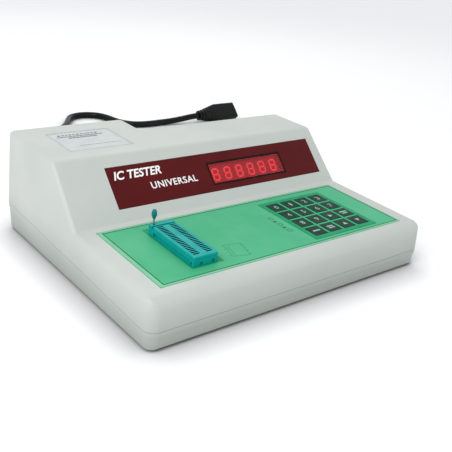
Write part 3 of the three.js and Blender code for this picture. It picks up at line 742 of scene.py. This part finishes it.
def make_screws_and_feet(surfaces):
    for i in range(4):
        low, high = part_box(f"case_screw_{i}")
        place = standing(low, high, low.z)
        head = [(0, 0.1 * MM)] + arc_profile(3.2 * MM, 0.9 * MM, 0, 0.9 * MM, -75, 0) + [
            (3.2 * MM, 1.6 * MM), (1.5 * MM, 2.2 * MM), (1.5 * MM, high.z - low.z - MM), (0, high.z - low.z)]
        screw = add_solid(f"case_screw_{i}_detailed", turned(head), place)
        arms = [moved(box_solid((-1.7 * MM, -0.3 * MM, -MM), (1.7 * MM, 0.3 * MM, MM)),
                      place @ Matrix.Rotation(math.radians(45 + 90 * k), 4, "Z")) for k in range(2)]
        boolean(screw, arms)
        finish_piece(screw, surfaces["steel"], "case", "steel", [f"case_screw_{i}"])
        low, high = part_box(f"foot_{i}")
        radius, height = (high.x - low.x) / 2, high.z - low.z
        edge = 0.6 * MM
        profile = [(0, 0.35 * MM), (2.2 * MM, 0.35 * MM), (2.6 * MM, 0)]
        profile += arc_profile(edge, edge, radius - edge, edge, -90, 0) + [(radius, height), (0, height)]
        place = standing(low, high, low.z)
        foot = add_solid(f"foot_{i}_detailed", turned(profile, 40), place)
        finish_piece(foot, surfaces["rubber"], "case", "foot_rubber", [f"foot_{i}"])


# ---- printed marks: thin raised shapes on a slope ----
PRINT = 0.05 * MM


def bar(x0, x1, y0, y1, height):
    return box_solid((min(x0, x1), min(y0, y1), height - PRINT), (max(x0, x1), max(y0, y1), height + PRINT))


def ring_bars(outer, inner, height):
    """the four bars between two rectangles (x0, x1, y0, y1), without overlaps"""
    x0, x1, y0, y1 = outer
    inner_x0, inner_x1, inner_y0, inner_y1 = inner
    return [bar(x0, x1, y0, inner_y0, height), bar(x0, x1, inner_y1, y1, height),
            bar(x0, inner_x0, inner_y0, inner_y1, height), bar(inner_x1, x1, inner_y0, inner_y1, height)]


def frame_bars(x0, x1, y0, y1, width, height):
    """the four bars of a rectangular outline of one width"""
    return ring_bars((x0, x1, y0, y1), (x0 + width, x1 - width, y0 + width, y1 - width), height)


def polygon_print(points, height):
    return loft([[Vector((x, y, height + side)) for x, y in points] for side in (-PRINT, PRINT)])


def text_mesh(text, size, shear=0.0, weight=0.0, spacing=1.0):
    """lettering as a thin solid, centred on the origin"""
    curve = bpy.data.curves.new("lettering", "FONT")
    curve.body = text
    curve.size = size
    curve.shear = shear
    curve.offset = weight
    curve.space_character = spacing
    curve.extrude = PRINT
    curve.align_x = "CENTER"
    curve.align_y = "CENTER"
    curve.resolution_u = 4
    made = add_object("lettering", curve)
    mesh = bpy.data.meshes.new_from_object(made.evaluated_get(bpy.context.evaluated_depsgraph_get()))
    bpy.data.objects.remove(made)
    bm = bmesh.new()
    bm.from_mesh(mesh)
    bmesh.ops.remove_doubles(bm, verts=bm.verts, dist=1e-6)
    return bm


def fit_text(bm, x0, x1, y0, y1, height):
    """scales lettering to fill a rectangle on a slope"""
    low = Vector(map(min, *(v.co for v in bm.verts)))
    high = Vector(map(max, *(v.co for v in bm.verts)))
    scale = Matrix.Diagonal(((x1 - x0) / (high.x - low.x), (y1 - y0) / (high.y - low.y), 1, 1))
    centre = Matrix.Translation((-(low.x + high.x) / 2, -(low.y + high.y) / 2, 0))
    return moved(bm, Matrix.Translation(((x0 + x1) / 2, (y0 + y1) / 2, height)) @ scale @ centre)


def print_piece(name, parts, place, material, slot, body="case"):
    made = add_solid(name, combined(parts), place)
    return finish_piece(made, material, body, slot)


# ---- display ----
DIGIT = {"width": 8.0 * MM, "height": 12.6 * MM, "stroke": 1.7 * MM, "slant": 0.09}
BEZEL_WIDTH = 1.7 * MM


def segment_shapes():
    """the seven segments of a digit as (x, y) outlines about its centre"""
    s = DIGIT["stroke"] / 2
    w, h = DIGIT["width"] / 2 - s, DIGIT["height"] / 2 - s
    clear = 0.12 * MM
    ends = [((-w, h), (w, h)), ((-w, 0), (w, 0)), ((-w, -h), (w, -h)),
            ((-w, 0), (-w, h)), ((w, 0), (w, h)), ((-w, -h), (-w, 0)), ((w, -h), (w, 0))]
    shapes = []
    for start, end in ends:
        start, end = Vector(start), Vector(end)
        along = (end - start).normalized()
        side = Vector((-along.y, along.x)) * s
        start, end = start + along * clear, end - along * clear
        shapes.append([start, start + along * s - side, end - along * s - side, end,
                       end - along * s + side, start + along * s + side])
    return [[Vector((p.x + p.y * DIGIT["slant"], p.y)) for p in shape] for shape in shapes]


def make_display(surfaces):
    low, high = local_box("display_filter", FACE)
    panel = plate("display_panel_sheet", "display_panel", FACE, 0.6 * MM, 0.15 * MM)
    boolean(panel, [opening_over(low, high, FACE)])
    finish_piece(panel, surfaces["panel"], "case", "display_panel", ["display_panel"])

    print_piece("window_outline", frame_bars(low.x, high.x, low.y, high.y, BEZEL_WIDTH, high.z + PRINT / 2),
                FACE, surfaces["bezel"], "display_panel")
    window = plate("display_filter_pane", "display_filter", FACE, 0.1 * MM, 0.05 * MM)
    finish_piece(window, surfaces["glass"], "case", "display_filter", ["display_filter"])

    for i in range(6):
        low, high = local_box(f"display_digit_{i}", FACE)
        block = slab(low.x, high.x, low.y, high.y, low.z, high.z - 0.3 * MM, 0.3 * MM, top=0.3 * MM)
        digit = add_solid(f"digit_{i}_block", block, FACE)
        finish_piece(digit, surfaces["reflector"], "case", "digits", [f"display_digit_{i}"])
        x, y = (low.x + high.x) / 2, (low.y + high.y) / 2
        lit = [polygon_print([(x + p.x, y + p.y) for p in shape], high.z - 0.2 * MM)
               for shape in segment_shapes()]
        print_piece(f"digit_{i}_segments", lit, FACE, surfaces["segment"], "digits")

    lettering_z = local_box("display_panel", FACE)[1].z + PRINT / 2
    name = fit_text(text_mesh("IC TESTER", 10 * MM, shear=0.3, weight=0.25 * MM),
                    -94 * MM, -48 * MM, 37.2 * MM, 45 * MM, lettering_z)
    kind = fit_text(text_mesh("UNIVERSAL", 10 * MM, weight=0.16 * MM, spacing=1.1),
                    -62.5 * MM, -15 * MM, 24.8 * MM, 31 * MM, lettering_z)
    print_piece("panel_lettering", [name, kind], FACE, surfaces["lettering"], "display_panel")


# ---- deck ----
MARGIN = {"left": 3.5 * MM, "right": 1.2 * MM, "front": 2.2 * MM, "rear": 2.2 * MM}
MARGIN_EDGE = 0.4 * MM  # of the sheet's own colour, outside the paler margin
BORDER_WIDTH = 1.0 * MM
UNDERCUT = {"depth": 2.0 * MM, "height": 3.8 * MM, "start": 5 * MM, "end": 7.5 * MM}  # along the socket


def socket_zone():
    """the darker patch round the socket, over its well: painted shade of the well seen through the film"""
    low, high = local_box("socket_base", DECK)
    return low.x - 1.7 * MM, high.x + 5.5 * MM, low.y - 2 * MM, high.y + 6.5 * MM


def make_overlay(surfaces):
    low, high = local_box("deck_overlay", DECK)
    keypad_low, keypad_high = local_box("keypad_frame", DECK)
    socket_low, socket_high = local_box("socket_base", DECK)
    overlay = plate("deck_overlay_sheet", "deck_overlay", DECK, 1.2 * MM, 0.15 * MM)
    openings = [opening_over(a, b, DECK)
                for a, b in ((keypad_low, keypad_high), (socket_low, socket_high))]
    boolean(overlay, openings)
    finish_piece(overlay, surfaces["overlay"], "case", "deck_overlay", ["deck_overlay"])

    sheet = (low.x + MARGIN_EDGE, high.x - MARGIN_EDGE, low.y + MARGIN_EDGE, high.y - MARGIN_EDGE)
    border = (low.x + MARGIN["left"], high.x - MARGIN["right"],
              low.y + MARGIN["front"], high.y - MARGIN["rear"])
    height = high.z + PRINT / 2
    print_piece("overlay_margin", ring_bars(sheet, border, height), DECK, surfaces["margin"], "deck_overlay")
    print_piece("overlay_border", frame_bars(*border, BORDER_WIDTH, height), DECK,
                surfaces["line"], "deck_overlay")

    # a darker sheet over the socket's well: painted shade
    x0, x1, y0, y1 = socket_zone()
    patch = box_solid((x0, y0, high.z - PRINT), (x1, y1, high.z + PRINT / 2))
    zone = add_solid("overlay_socket_well_shade", patch, DECK)
    boolean(zone, [opening_over(socket_low, socket_high, DECK)])
    finish_piece(zone, surfaces["zone"], "case", "deck_overlay")
    make_overlay_marks(surfaces, high.z + PRINT / 2)


def make_overlay_marks(surfaces, height):
    """a chip drawn beside the socket, and a row of small signs beside the keypad"""
    width, length, line = 15 * MM, 19.5 * MM, 0.45 * MM
    parts = frame_bars(-width / 2, width / 2, -length / 2, length / 2, line, 0)
    stripe = -width / 2 + 2.6 * MM
    parts.append(bar(stripe, stripe + line, -length / 2 + 2 * MM, length / 2 - 2 * MM, 0))
    for i in range(4):
        y = -length / 2 + (i + 0.5) * length / 4
        parts.append(bar(width / 2, width / 2 + 2.2 * MM, y - line / 2, y + line / 2, 0))
        parts.append(bar(-width / 2 - 2.2 * MM, -width / 2, y - line / 2, y + line / 2, 0))
    turn = Matrix.Translation((-44.4 * MM, 35 * MM, height)) @ Matrix.Rotation(math.radians(-14), 4, "Z")
    print_piece("overlay_chip_sign", [moved(combined(parts), turn)], DECK, surfaces["faint"], "deck_overlay")
    signs = []
    for i, y in enumerate((67, 61, 55, 49, 43)):
        x = 19 * MM
        y *= MM
        if i % 2:
            points = [(x - 2.0 * MM, y - 1.9 * MM), (x + 2.0 * MM, y), (x - 2.0 * MM, y + 1.9 * MM)]
            signs.append(polygon_print(points, height))
        else:
            signs += frame_bars(x - 2.0 * MM, x + 2.0 * MM, y - 2.2 * MM, y + 2.2 * MM, line, height)
    print_piece("overlay_signs", signs, DECK, surfaces["line"], "deck_overlay")


def key_sign(index, x, y, height):
    """the legend of one key: a numeral, or a plain sign on a function key"""
    if index < 10:
        size = 5.6 * MM
        half = size * (0.16 if index == 1 else 0.32)
        numeral = text_mesh(str(index), 8 * MM)
        return [fit_text(numeral, x - half, x + half, y - size / 2, y + size / 2, height)]
    s = 2.2 * MM

    def block(half, low, high):
        return [(-half * s, low * s), (half * s, low * s), (half * s, high * s), (-half * s, high * s)]

    signs = {
        10: [[(-s, -s), (s, 0), (-s, s)]],
        11: [block(2, 0.3, 1), block(1.4, -1, -0.3)],
        12: [block(1.8, -0.4, 0.4)],
        13: [block(1.6, 0.3, 1), block(1.6, -1, -0.3)],
        14: [[(-s, -s), (s, -s), (0, s)]],
        15: [[(-s, s), (0, -s), (s, s)]],
    }
    return [polygon_print([(x + dx, y + dy) for dx, dy in outline], height) for outline in signs[index]]


GRID_WIDTH = 1.5 * MM


def make_keypad_grid(surfaces, height):
    """paler strips printed on the keypad's front between the keys"""
    boxes = [local_box(f"key_{i}", DECK) for i in range(16)]
    lefts, rights = [boxes[i][0].x for i in range(4)], [boxes[i][1].x for i in range(4)]
    fronts, rears = [boxes[i * 4][0].y for i in range(4)], [boxes[i * 4][1].y for i in range(4)]
    parts = []
    for row in range(3):
        y = (fronts[row] + rears[row + 1]) / 2
        parts.append(bar(lefts[0], rights[3], y - GRID_WIDTH / 2, y + GRID_WIDTH / 2, height))
    for column in range(3):
        x = (rights[column] + lefts[column + 1]) / 2
        for row in range(4):
            parts.append(bar(x - GRID_WIDTH / 2, x + GRID_WIDTH / 2, fronts[row], rears[row], height))
    print_piece("keypad_grid", parts, DECK, surfaces["grid"], "keypad_frame")


def make_keypad(surfaces):
    low, high = local_box("keypad_frame", DECK)
    keypad = plate("keypad_bezel", "keypad_frame", DECK, 1.0 * MM, 0.25 * MM)
    openings = []
    for i in range(16):
        key_low, key_high = local_box(f"key_{i}", DECK)
        openings.append(moved(slab(key_low.x - GAP, key_high.x + GAP, key_low.y - GAP, key_high.y + GAP,
                                   -9 * MM, 9 * MM, 0.7 * MM), DECK))
    boolean(keypad, openings)
    soften(keypad, 0.12 * MM, 1, 60)
    # the keypad's frame takes the darker green: painted shade of its well
    finish_piece(keypad, surfaces["zone"], "case", "keypad_frame", ["keypad_frame"])
    make_keypad_grid(surfaces, high.z + PRINT / 2)
    for i in range(16):
        low, high = local_box(f"key_{i}", DECK)
        key = plate(f"key_{i}_cap", f"key_{i}", DECK, 0.6 * MM, 0.4 * MM, 0.2 * MM)
        finish_piece(key, surfaces["keys"], f"key_{i}", "keys", [f"key_{i}"])
        x, y = (low.x + high.x) / 2, (low.y + high.y) / 2
        print_piece(f"key_{i}_legend", key_sign(i, x, y, high.z + PRINT / 2), DECK, surfaces["legend"],
                    "keys", f"key_{i}")


# ---- lever socket ----
SLOT_WIDTH = 5.6 * MM
SLOT_LENGTH = 1.3 * MM
SLIDER_ROOM = 1.9 * MM  # behind the slider, to move into
LEVER_RADIUS = 0.8 * MM
LEVER_CLEARANCE = 0.35 * MM


def way_places():
    low, high = local_box("socket_base", DECK)
    middle = (low.x + high.x) / 2
    for side in (-1, 1):
        for i in range(WAYS_PER_ROW):
            yield middle + side * ROW_SPACING / 2, FIRST_WAY + i * WAY_PITCH


def lever_room(low, high):
    """the bore for the lever's shaft and the slot that its arm stands in"""
    lever_low, lever_high = local_box("socket_lever", DECK)
    x, y = lever_low.x + LEVER_RADIUS, (lever_low.y + lever_high.y) / 2
    z = lever_low.z + LEVER_RADIUS
    room = LEVER_RADIUS + LEVER_CLEARANCE
    place = Matrix.Translation((x - room, y, z)) @ UP_TO_RIGHT
    bore = moved(turned([(room, 0), (room, lever_high.x - x + room + 0.4 * MM)]), place)
    return [bore, box_solid((x - room, y - room, z - room), (x + room, high.y + MM, high.z + MM))]


def make_socket_base(surfaces):
    low, high = local_box("socket_base", DECK)
    slider_low, slider_high = local_box("socket_slider", DECK)
    base = plate("socket_body", "socket_base", DECK, 0.7 * MM, 0.45 * MM)
    cuts = [box_solid((low.x - MM, low.y - MM, slider_low.z - GAP),
                      (high.x + MM, slider_high.y + SLIDER_ROOM, 12 * MM))]
    middle = (low.x + high.x) / 2
    for side in (-1, 1):
        x = middle + side * ROW_SPACING / 2
        cuts.append(box_solid((x - SLOT_WIDTH / 2, FIRST_WAY - MM, slider_low.z - 3.5 * MM),
                              (x + SLOT_WIDTH / 2, FIRST_WAY + (WAYS_PER_ROW - 1) * WAY_PITCH + MM, 12 * MM)))
    for x in (low.x + 7 * MM, high.x - 4 * MM):
        cuts.append(slab(x - 1.2 * MM, x + 1.2 * MM, low.y - MM, low.y + 1.4 * MM, 0, 3 * MM, 0.3 * MM))
    cuts.append(slab(low.x - MM, low.x + 1.4 * MM, low.y + 1.6 * MM, low.y + 4 * MM, 0, 3 * MM, 0.3 * MM))
    for x0, x1 in ((low.x - MM, low.x + UNDERCUT["depth"]), (high.x - UNDERCUT["depth"], high.x + MM)):
        cuts.append(box_solid((x0, low.y + UNDERCUT["start"], 0),
                              (x1, high.y - UNDERCUT["end"], UNDERCUT["height"])))
    cuts += lever_room(low, high)
    boolean(base, [moved(cut, DECK) for cut in cuts])
    soften(base, 0.15 * MM, 2, 50)
    finish_piece(base, surfaces["socket"], "case", "socket", ["socket_base"])

    half_width, half_thick, apart = 1.6 * MM, 0.12 * MM, 0.35 * MM
    springs = []
    for x, y in way_places():
        for leaf_y in (y - apart, y + apart):
            springs.append(box_solid((x - half_width, leaf_y - half_thick, slider_low.z - 3.3 * MM),
                                     (x + half_width, leaf_y + half_thick, slider_low.z - 0.6 * MM)))
    contacts = add_solid("socket_contacts", combined(springs), DECK)
    finish_piece(contacts, surfaces["contact"], "case", "steel")


def make_socket_slider(surfaces):
    low, high = local_box("socket_slider", DECK)
    cover = plate("socket_cover", "socket_slider", DECK, 0.7 * MM, 0.45 * MM)
    funnel = 0.25 * MM
    levels = ((low.z - MM, 0), (high.z - funnel, 0), (high.z + funnel, 2 * funnel))
    slots = []
    for x, y in way_places():
        rings = []
        for z, wider in levels:
            w, h = SLOT_WIDTH / 2 + wider * 0.4, SLOT_LENGTH / 2 + wider * 0.5
            rings.append(rounded_rect(x - w, x + w, y - h, y + h, z, 0.25 * MM, 2))
        slots.append(moved(loft(rings), DECK))
    boolean(cover, slots)
    finish_piece(cover, surfaces["socket"], "socket_slider", "socket", ["socket_slider"], smooth=30)
    # the walls inside the slots take the dark material: painted shade
    cover.data.materials.append(surfaces["slot"])
    inverse = DECK.inverted()
    for polygon in cover.data.polygons:
        centre = inverse @ polygon.center
        inside = low.x + MM < centre.x < high.x - MM and low.y + MM < centre.y < high.y - MM
        if inside and low.z + 0.1 * MM < centre.z < high.z - 0.1 * MM:
            polygon.material_index = 1


def make_lever(surfaces):
    low, high = local_box("socket_lever", DECK)
    knob_low, knob_high = local_box("lever_knob", DECK)
    radius = LEVER_RADIUS
    x, y = low.x + radius, (low.y + high.y) / 2
    base_z, top_z = low.z + radius, high.z
    bend = 1.4 * MM
    path = [Vector((high.x, y, base_z)), Vector((x + bend + MM, y, base_z))]
    for angle in quarter_turn(6):
        path.append(Vector((x + bend - bend * math.sin(angle), y, base_z + bend - bend * math.cos(angle))))
    path.append(Vector((x, y, top_z)))
    rings = []
    for i, point in enumerate(path):
        ahead = path[min(i + 1, len(path) - 1)] - path[max(i - 1, 0)]
        across = Vector((0, 1, 0))
        other = ahead.normalized().cross(across)
        rings.append([point + radius * (math.cos(a) * across + math.sin(a) * other) for a in full_turn(16)])
    rod = add_solid("lever_rod", loft(rings), DECK)
    finish_piece(rod, surfaces["steel"], "socket_lever", "steel", ["socket_lever"])

    half_width, half_height = (knob_high.x - knob_low.x) / 2, (knob_high.z - knob_low.z) / 2
    middle = (knob_low.z + knob_high.z) / 2
    profile = [(0, middle - half_height), (radius + 0.5 * MM, middle - half_height + 0.02 * MM)]
    profile += arc_profile(half_width, half_height, 0, middle, -66, 90, 16)
    place = DECK @ standing(knob_low, knob_high, 0)
    knob = add_solid("lever_knob_moulded", turned(profile, 28), place)
    finish_piece(knob, surfaces["knob"], "socket_lever", "socket", ["lever_knob"], smooth=60)


# ---- top and rear ----
def make_label(surfaces):
    low, high = local_box("rating_label", TOP)
    label = plate("rating_label_plate", "rating_label", TOP, 3 * MM, 0.15 * MM)
    finish_piece(label, surfaces["label"], "case", "rating_label", ["rating_label"])
    height = high.z + PRINT / 2
    dashes = []
    # each row of print: distance from the rear edge, start, run, thickness, longest dash, space
    rows = ((9, 8, 36, 2.2, 2.8, 1.4), (13, 6, 42, 1.7, 3.2, 0.5), (17.2, 15, 27, 2.2, 3.6, 0.6))
    for row, (down, start, run, thick, longest, space) in enumerate(rows):
        x, y = low.x + start * MM, high.y - down * MM
        step = 0
        while x < low.x + (start + run) * MM:
            width = longest * (1 - 0.12 * ((step * 7 + row * 3) % 5)) * MM
            dashes.append(bar(x, x + width, y, y + thick * MM, height))
            x += width + space * MM
            step += 1
    dashes.append(bar(low.x + 15 * MM, high.x - 6 * MM, low.y + 12 * MM, low.y + 12.4 * MM, height))
    edge = 1.3 * MM
    rim = frame_bars(low.x + edge, high.x - edge, low.y + edge, high.y - edge, 0.5 * MM, height)
    print_piece("label_rim", rim, TOP, surfaces["outline"], "rating_label")
    print_piece("label_print", dashes, TOP, surfaces["ink"], "rating_label")


def make_rear_fittings(surfaces):
    low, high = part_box("cord_gland")
    axis = backwards(low, high)
    wall = REAR_Y + GAP
    nut, thread, flange = 7.4 * MM, 5 * MM, 8 * MM
    profile = [(0, low.y), (nut, low.y), (nut, low.y + 4 * MM), (thread, low.y + 4 * MM), (thread, wall),
               (flange - 0.3 * MM, wall), (flange, wall + 0.3 * MM), (flange, wall + 1.8 * MM),
               (flange - 0.5 * MM, wall + 2.3 * MM)]
    ribs = 9
    start, length = wall + 2.3 * MM, high.y - wall - 2.3 * MM
    for i in range(ribs):
        outer = (6.9 - 1.6 * i / (ribs - 1)) * MM
        step = length / ribs
        y = start + i * step
        profile += [(outer - 1.0 * MM, y + 0.05 * step), (outer - 1.0 * MM, y + 0.3 * step),
                    (outer, y + 0.45 * step), (outer, y + 0.95 * step)]
    profile += [(0, high.y)]
    gland = add_solid("cord_gland_ribbed", turned(profile), axis)
    finish_piece(gland, surfaces["black"], "case", "black_plastic", ["cord_gland"])

    low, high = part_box("fuse_holder")
    axis = backwards(low, high)
    barrel, cap, dish = 5.9 * MM, 8 * MM, 5.6 * MM
    profile = [(0, low.y), (barrel, low.y), (barrel, wall), (cap, wall), (cap, high.y - 0.6 * MM),
               (cap - 0.5 * MM, high.y), (dish, high.y), (dish - 0.2 * MM, high.y - MM), (0, high.y - MM)]
    fuse = add_solid("fuse_holder_cap", turned(profile), axis)
    coin_slot = box_solid((-4 * MM, -0.6 * MM, high.y - 1.8 * MM), (4 * MM, 0.6 * MM, high.y + MM))
    boolean(fuse, [moved(coin_slot, axis)])
    finish_piece(fuse, surfaces["black"], "case", "black_plastic", ["fuse_holder"])

    low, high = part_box("switch_body")
    inner_low, inner_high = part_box("switch_rocker")
    body = moved(slab(low.x, high.x, -high.z, -low.z, wall, high.y, 1.0 * MM, top=0.4 * MM), UP_TO_BACK)
    switch = add_object("switch_frame", mesh_of(body))
    barrel = box_solid((low.x + SWITCH_LIP, low.y, low.z + SWITCH_LIP),
                       (high.x - SWITCH_LIP, wall, high.z - SWITCH_LIP))
    boolean(switch, [barrel], "UNION")
    boolean(switch, [box_solid((low.x + 3 * MM, REAR_Y - 7 * MM, low.z + 3 * MM),
                               (high.x - 3 * MM, REAR_Y + 9 * MM, high.z - 3 * MM))])
    soften(switch, 0.15 * MM, 2, 50)
    finish_piece(switch, surfaces["black"], "case", "black_plastic", ["switch_body"])
    make_rocker(surfaces, inner_low, inner_high)


def make_rocker(surfaces, low, high):
    """the rocker, saddle-shaped when seen from the side"""
    half = 7.3 * MM
    tilt = Matrix.Rotation(math.radians(8), 4, "X")
    centre = Matrix.Translation((0, REAR_Y - GAP, (low.z + high.z) / 2))
    outline = [(-2.5 * MM, MM - half)]
    for k in range(13):
        share = k / 12 * 2 - 1
        outline.append(((0.6 + 0.9 * share * share) * MM, half * share))
    outline.append((-2.5 * MM, half - MM))
    rings = []
    for x, inset in ((low.x, 0.3), (low.x + 0.3 * MM, 0), (high.x - 0.3 * MM, 0), (high.x, 0.3)):
        narrow, low_end = 1 - 0.1 * inset, 1 - 0.05 * inset
        rings.append([centre @ tilt @ Vector((x, y * narrow, z * low_end)) for y, z in outline])
    rocker = add_object("switch_rocker_key", mesh_of(loft(rings)))
    finish_piece(rocker, surfaces["black"], "switch_rocker", "black_plastic", ["switch_rocker"])


# ---- mains lead ----
def make_cord(surfaces):
    curve = bpy.data.curves.new("mains_lead", "CURVE")
    curve.dimensions = "3D"
    curve.bevel_depth = CORD_DIAMETER / 2
    curve.bevel_resolution = 6
    curve.resolution_u = 10
    curve.use_fill_caps = True
    spline = curve.splines.new("BEZIER")
    spline.bezier_points.add(len(CORD_ROUTE) - 1)
    for point, place in zip(spline.bezier_points, CORD_ROUTE):
        point.co = Vector(place) * MM
        point.handle_left_type = "AUTO"
        point.handle_right_type = "AUTO"
    curve.materials.append(surfaces["sheath"])
    cord = add_object("mains_lead", curve)
    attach(cord, "case")
    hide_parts("power_cord")
    return cord


def connector_section(x, size, share, sharpness=14, sides=56):
    """a ring across the lead: round of radius `size` at share 0, the moulding's rounded outline at share 1"""
    half, rise = CONNECTOR["width"] / 2, CONNECTOR["height"] / 2
    corner = (half + rise - CONNECTOR["chamfer"]) / math.sqrt(2)
    flats = ((0, half), (90, rise), (180, half), (270, rise), (225, corner), (315, corner))
    ring = []
    for angle in full_turn(sides):
        facing = [math.cos(angle - math.radians(turn)) / reach for turn, reach in flats]
        outline = sum(max(value, 0) ** sharpness for value in facing) ** (-1 / sharpness)
        reach = size * (1 - share) + outline * share
        ring.append(Vector((x, reach * math.cos(angle), reach * math.sin(angle))))
    return ring


def make_connector(surfaces):
    low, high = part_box("cord_connector")
    start, end = low.x, high.x
    relief_end = start + CONNECTOR["relief"]
    rings = [connector_section(start + x * MM, r * MM, 0)
             for x, r in ((0, 6.6), (0.5, 7.2), (2.4, 7.2), (2.9, 6.6), (3.0, 6.0))]
    ribs = 5
    step = (relief_end - start - 3 * MM) / ribs
    for i in range(ribs):
        for along, dip in ((0.05, 1.3), (0.22, 1.3), (0.34, 0.1), (0.5, 0), (0.85, 0), (0.98, 0.2)):
            share = (i + along) / ribs
            size = (7.3 + 2.6 * share - dip) * MM
            rings.append(connector_section(start + 3 * MM + (i + along) * step, size, 0.92 * share ** 1.3))
    body = [(0.3, 0.93), (1.6, 0.97), (16, 0.98), (32, 0.99), (32.6, 0.95), (33.6, 0.95), (34.2, 1)]
    for x, share in body:
        rings.append(connector_section(relief_end + x * MM, 9 * MM, share, 18))
    for back, share in ((0.7, 1), (0.2, 0.95), (0, 0.88)):
        rings.append(connector_section(end - back * MM, 9 * MM, share, 18))
    made = add_object("connector_moulding", mesh_of(loft(rings)))
    slots = []
    for across, up in ((-7, 2), (0, -2), (7, 2)):
        slots.append(box_solid((end - 14 * MM, across * MM - 1.2 * MM, up * MM - 3 * MM),
                               (end + MM, across * MM + 1.2 * MM, up * MM + 3 * MM)))
    boolean(made, slots)
    roll = Matrix.Translation((0, CONNECTOR["y"], CONNECTOR["z"])) @ Matrix.Rotation(math.radians(45), 4, "X")
    made.data.transform(roll)
    return finish_piece(made, surfaces["sheath"], "case", "cord_sheath", ["cord_connector"], smooth=45)


# ---- inside ----
INNER_SURFACES = {
    "display_board": "board", "front_board": "board", "main_board": "board", "dome_sheet": "steel",
    "microcontroller": "black", "memory_chip": "black", "regulator": "black", "heatsink": "aluminium",
    "filter_capacitor": "sleeve", "transformer_core": "core", "transformer_coil": "tape",
}


def finish_inside(surfaces):
    """the pieces inside the case keep their CAD shapes and get finished surfaces"""
    for node, surface in INNER_SURFACES.items():
        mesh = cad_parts[node].data
        mesh.materials.clear()
        mesh.materials.append(surfaces[surface])


make_camera()
make_studio()
surfaces = make_surfaces()
cord = make_cord(surfaces)
connector = make_connector(surfaces)
make_rear_fittings(surfaces)
make_upper_case(surfaces)
make_lower_case(surfaces)
make_screws_and_feet(surfaces)
make_display(surfaces)
make_overlay(surfaces)
make_keypad(surfaces)
make_socket_base(surfaces)
make_socket_slider(surfaces)
make_lever(surfaces)
make_label(surfaces)
finish_inside(surfaces)
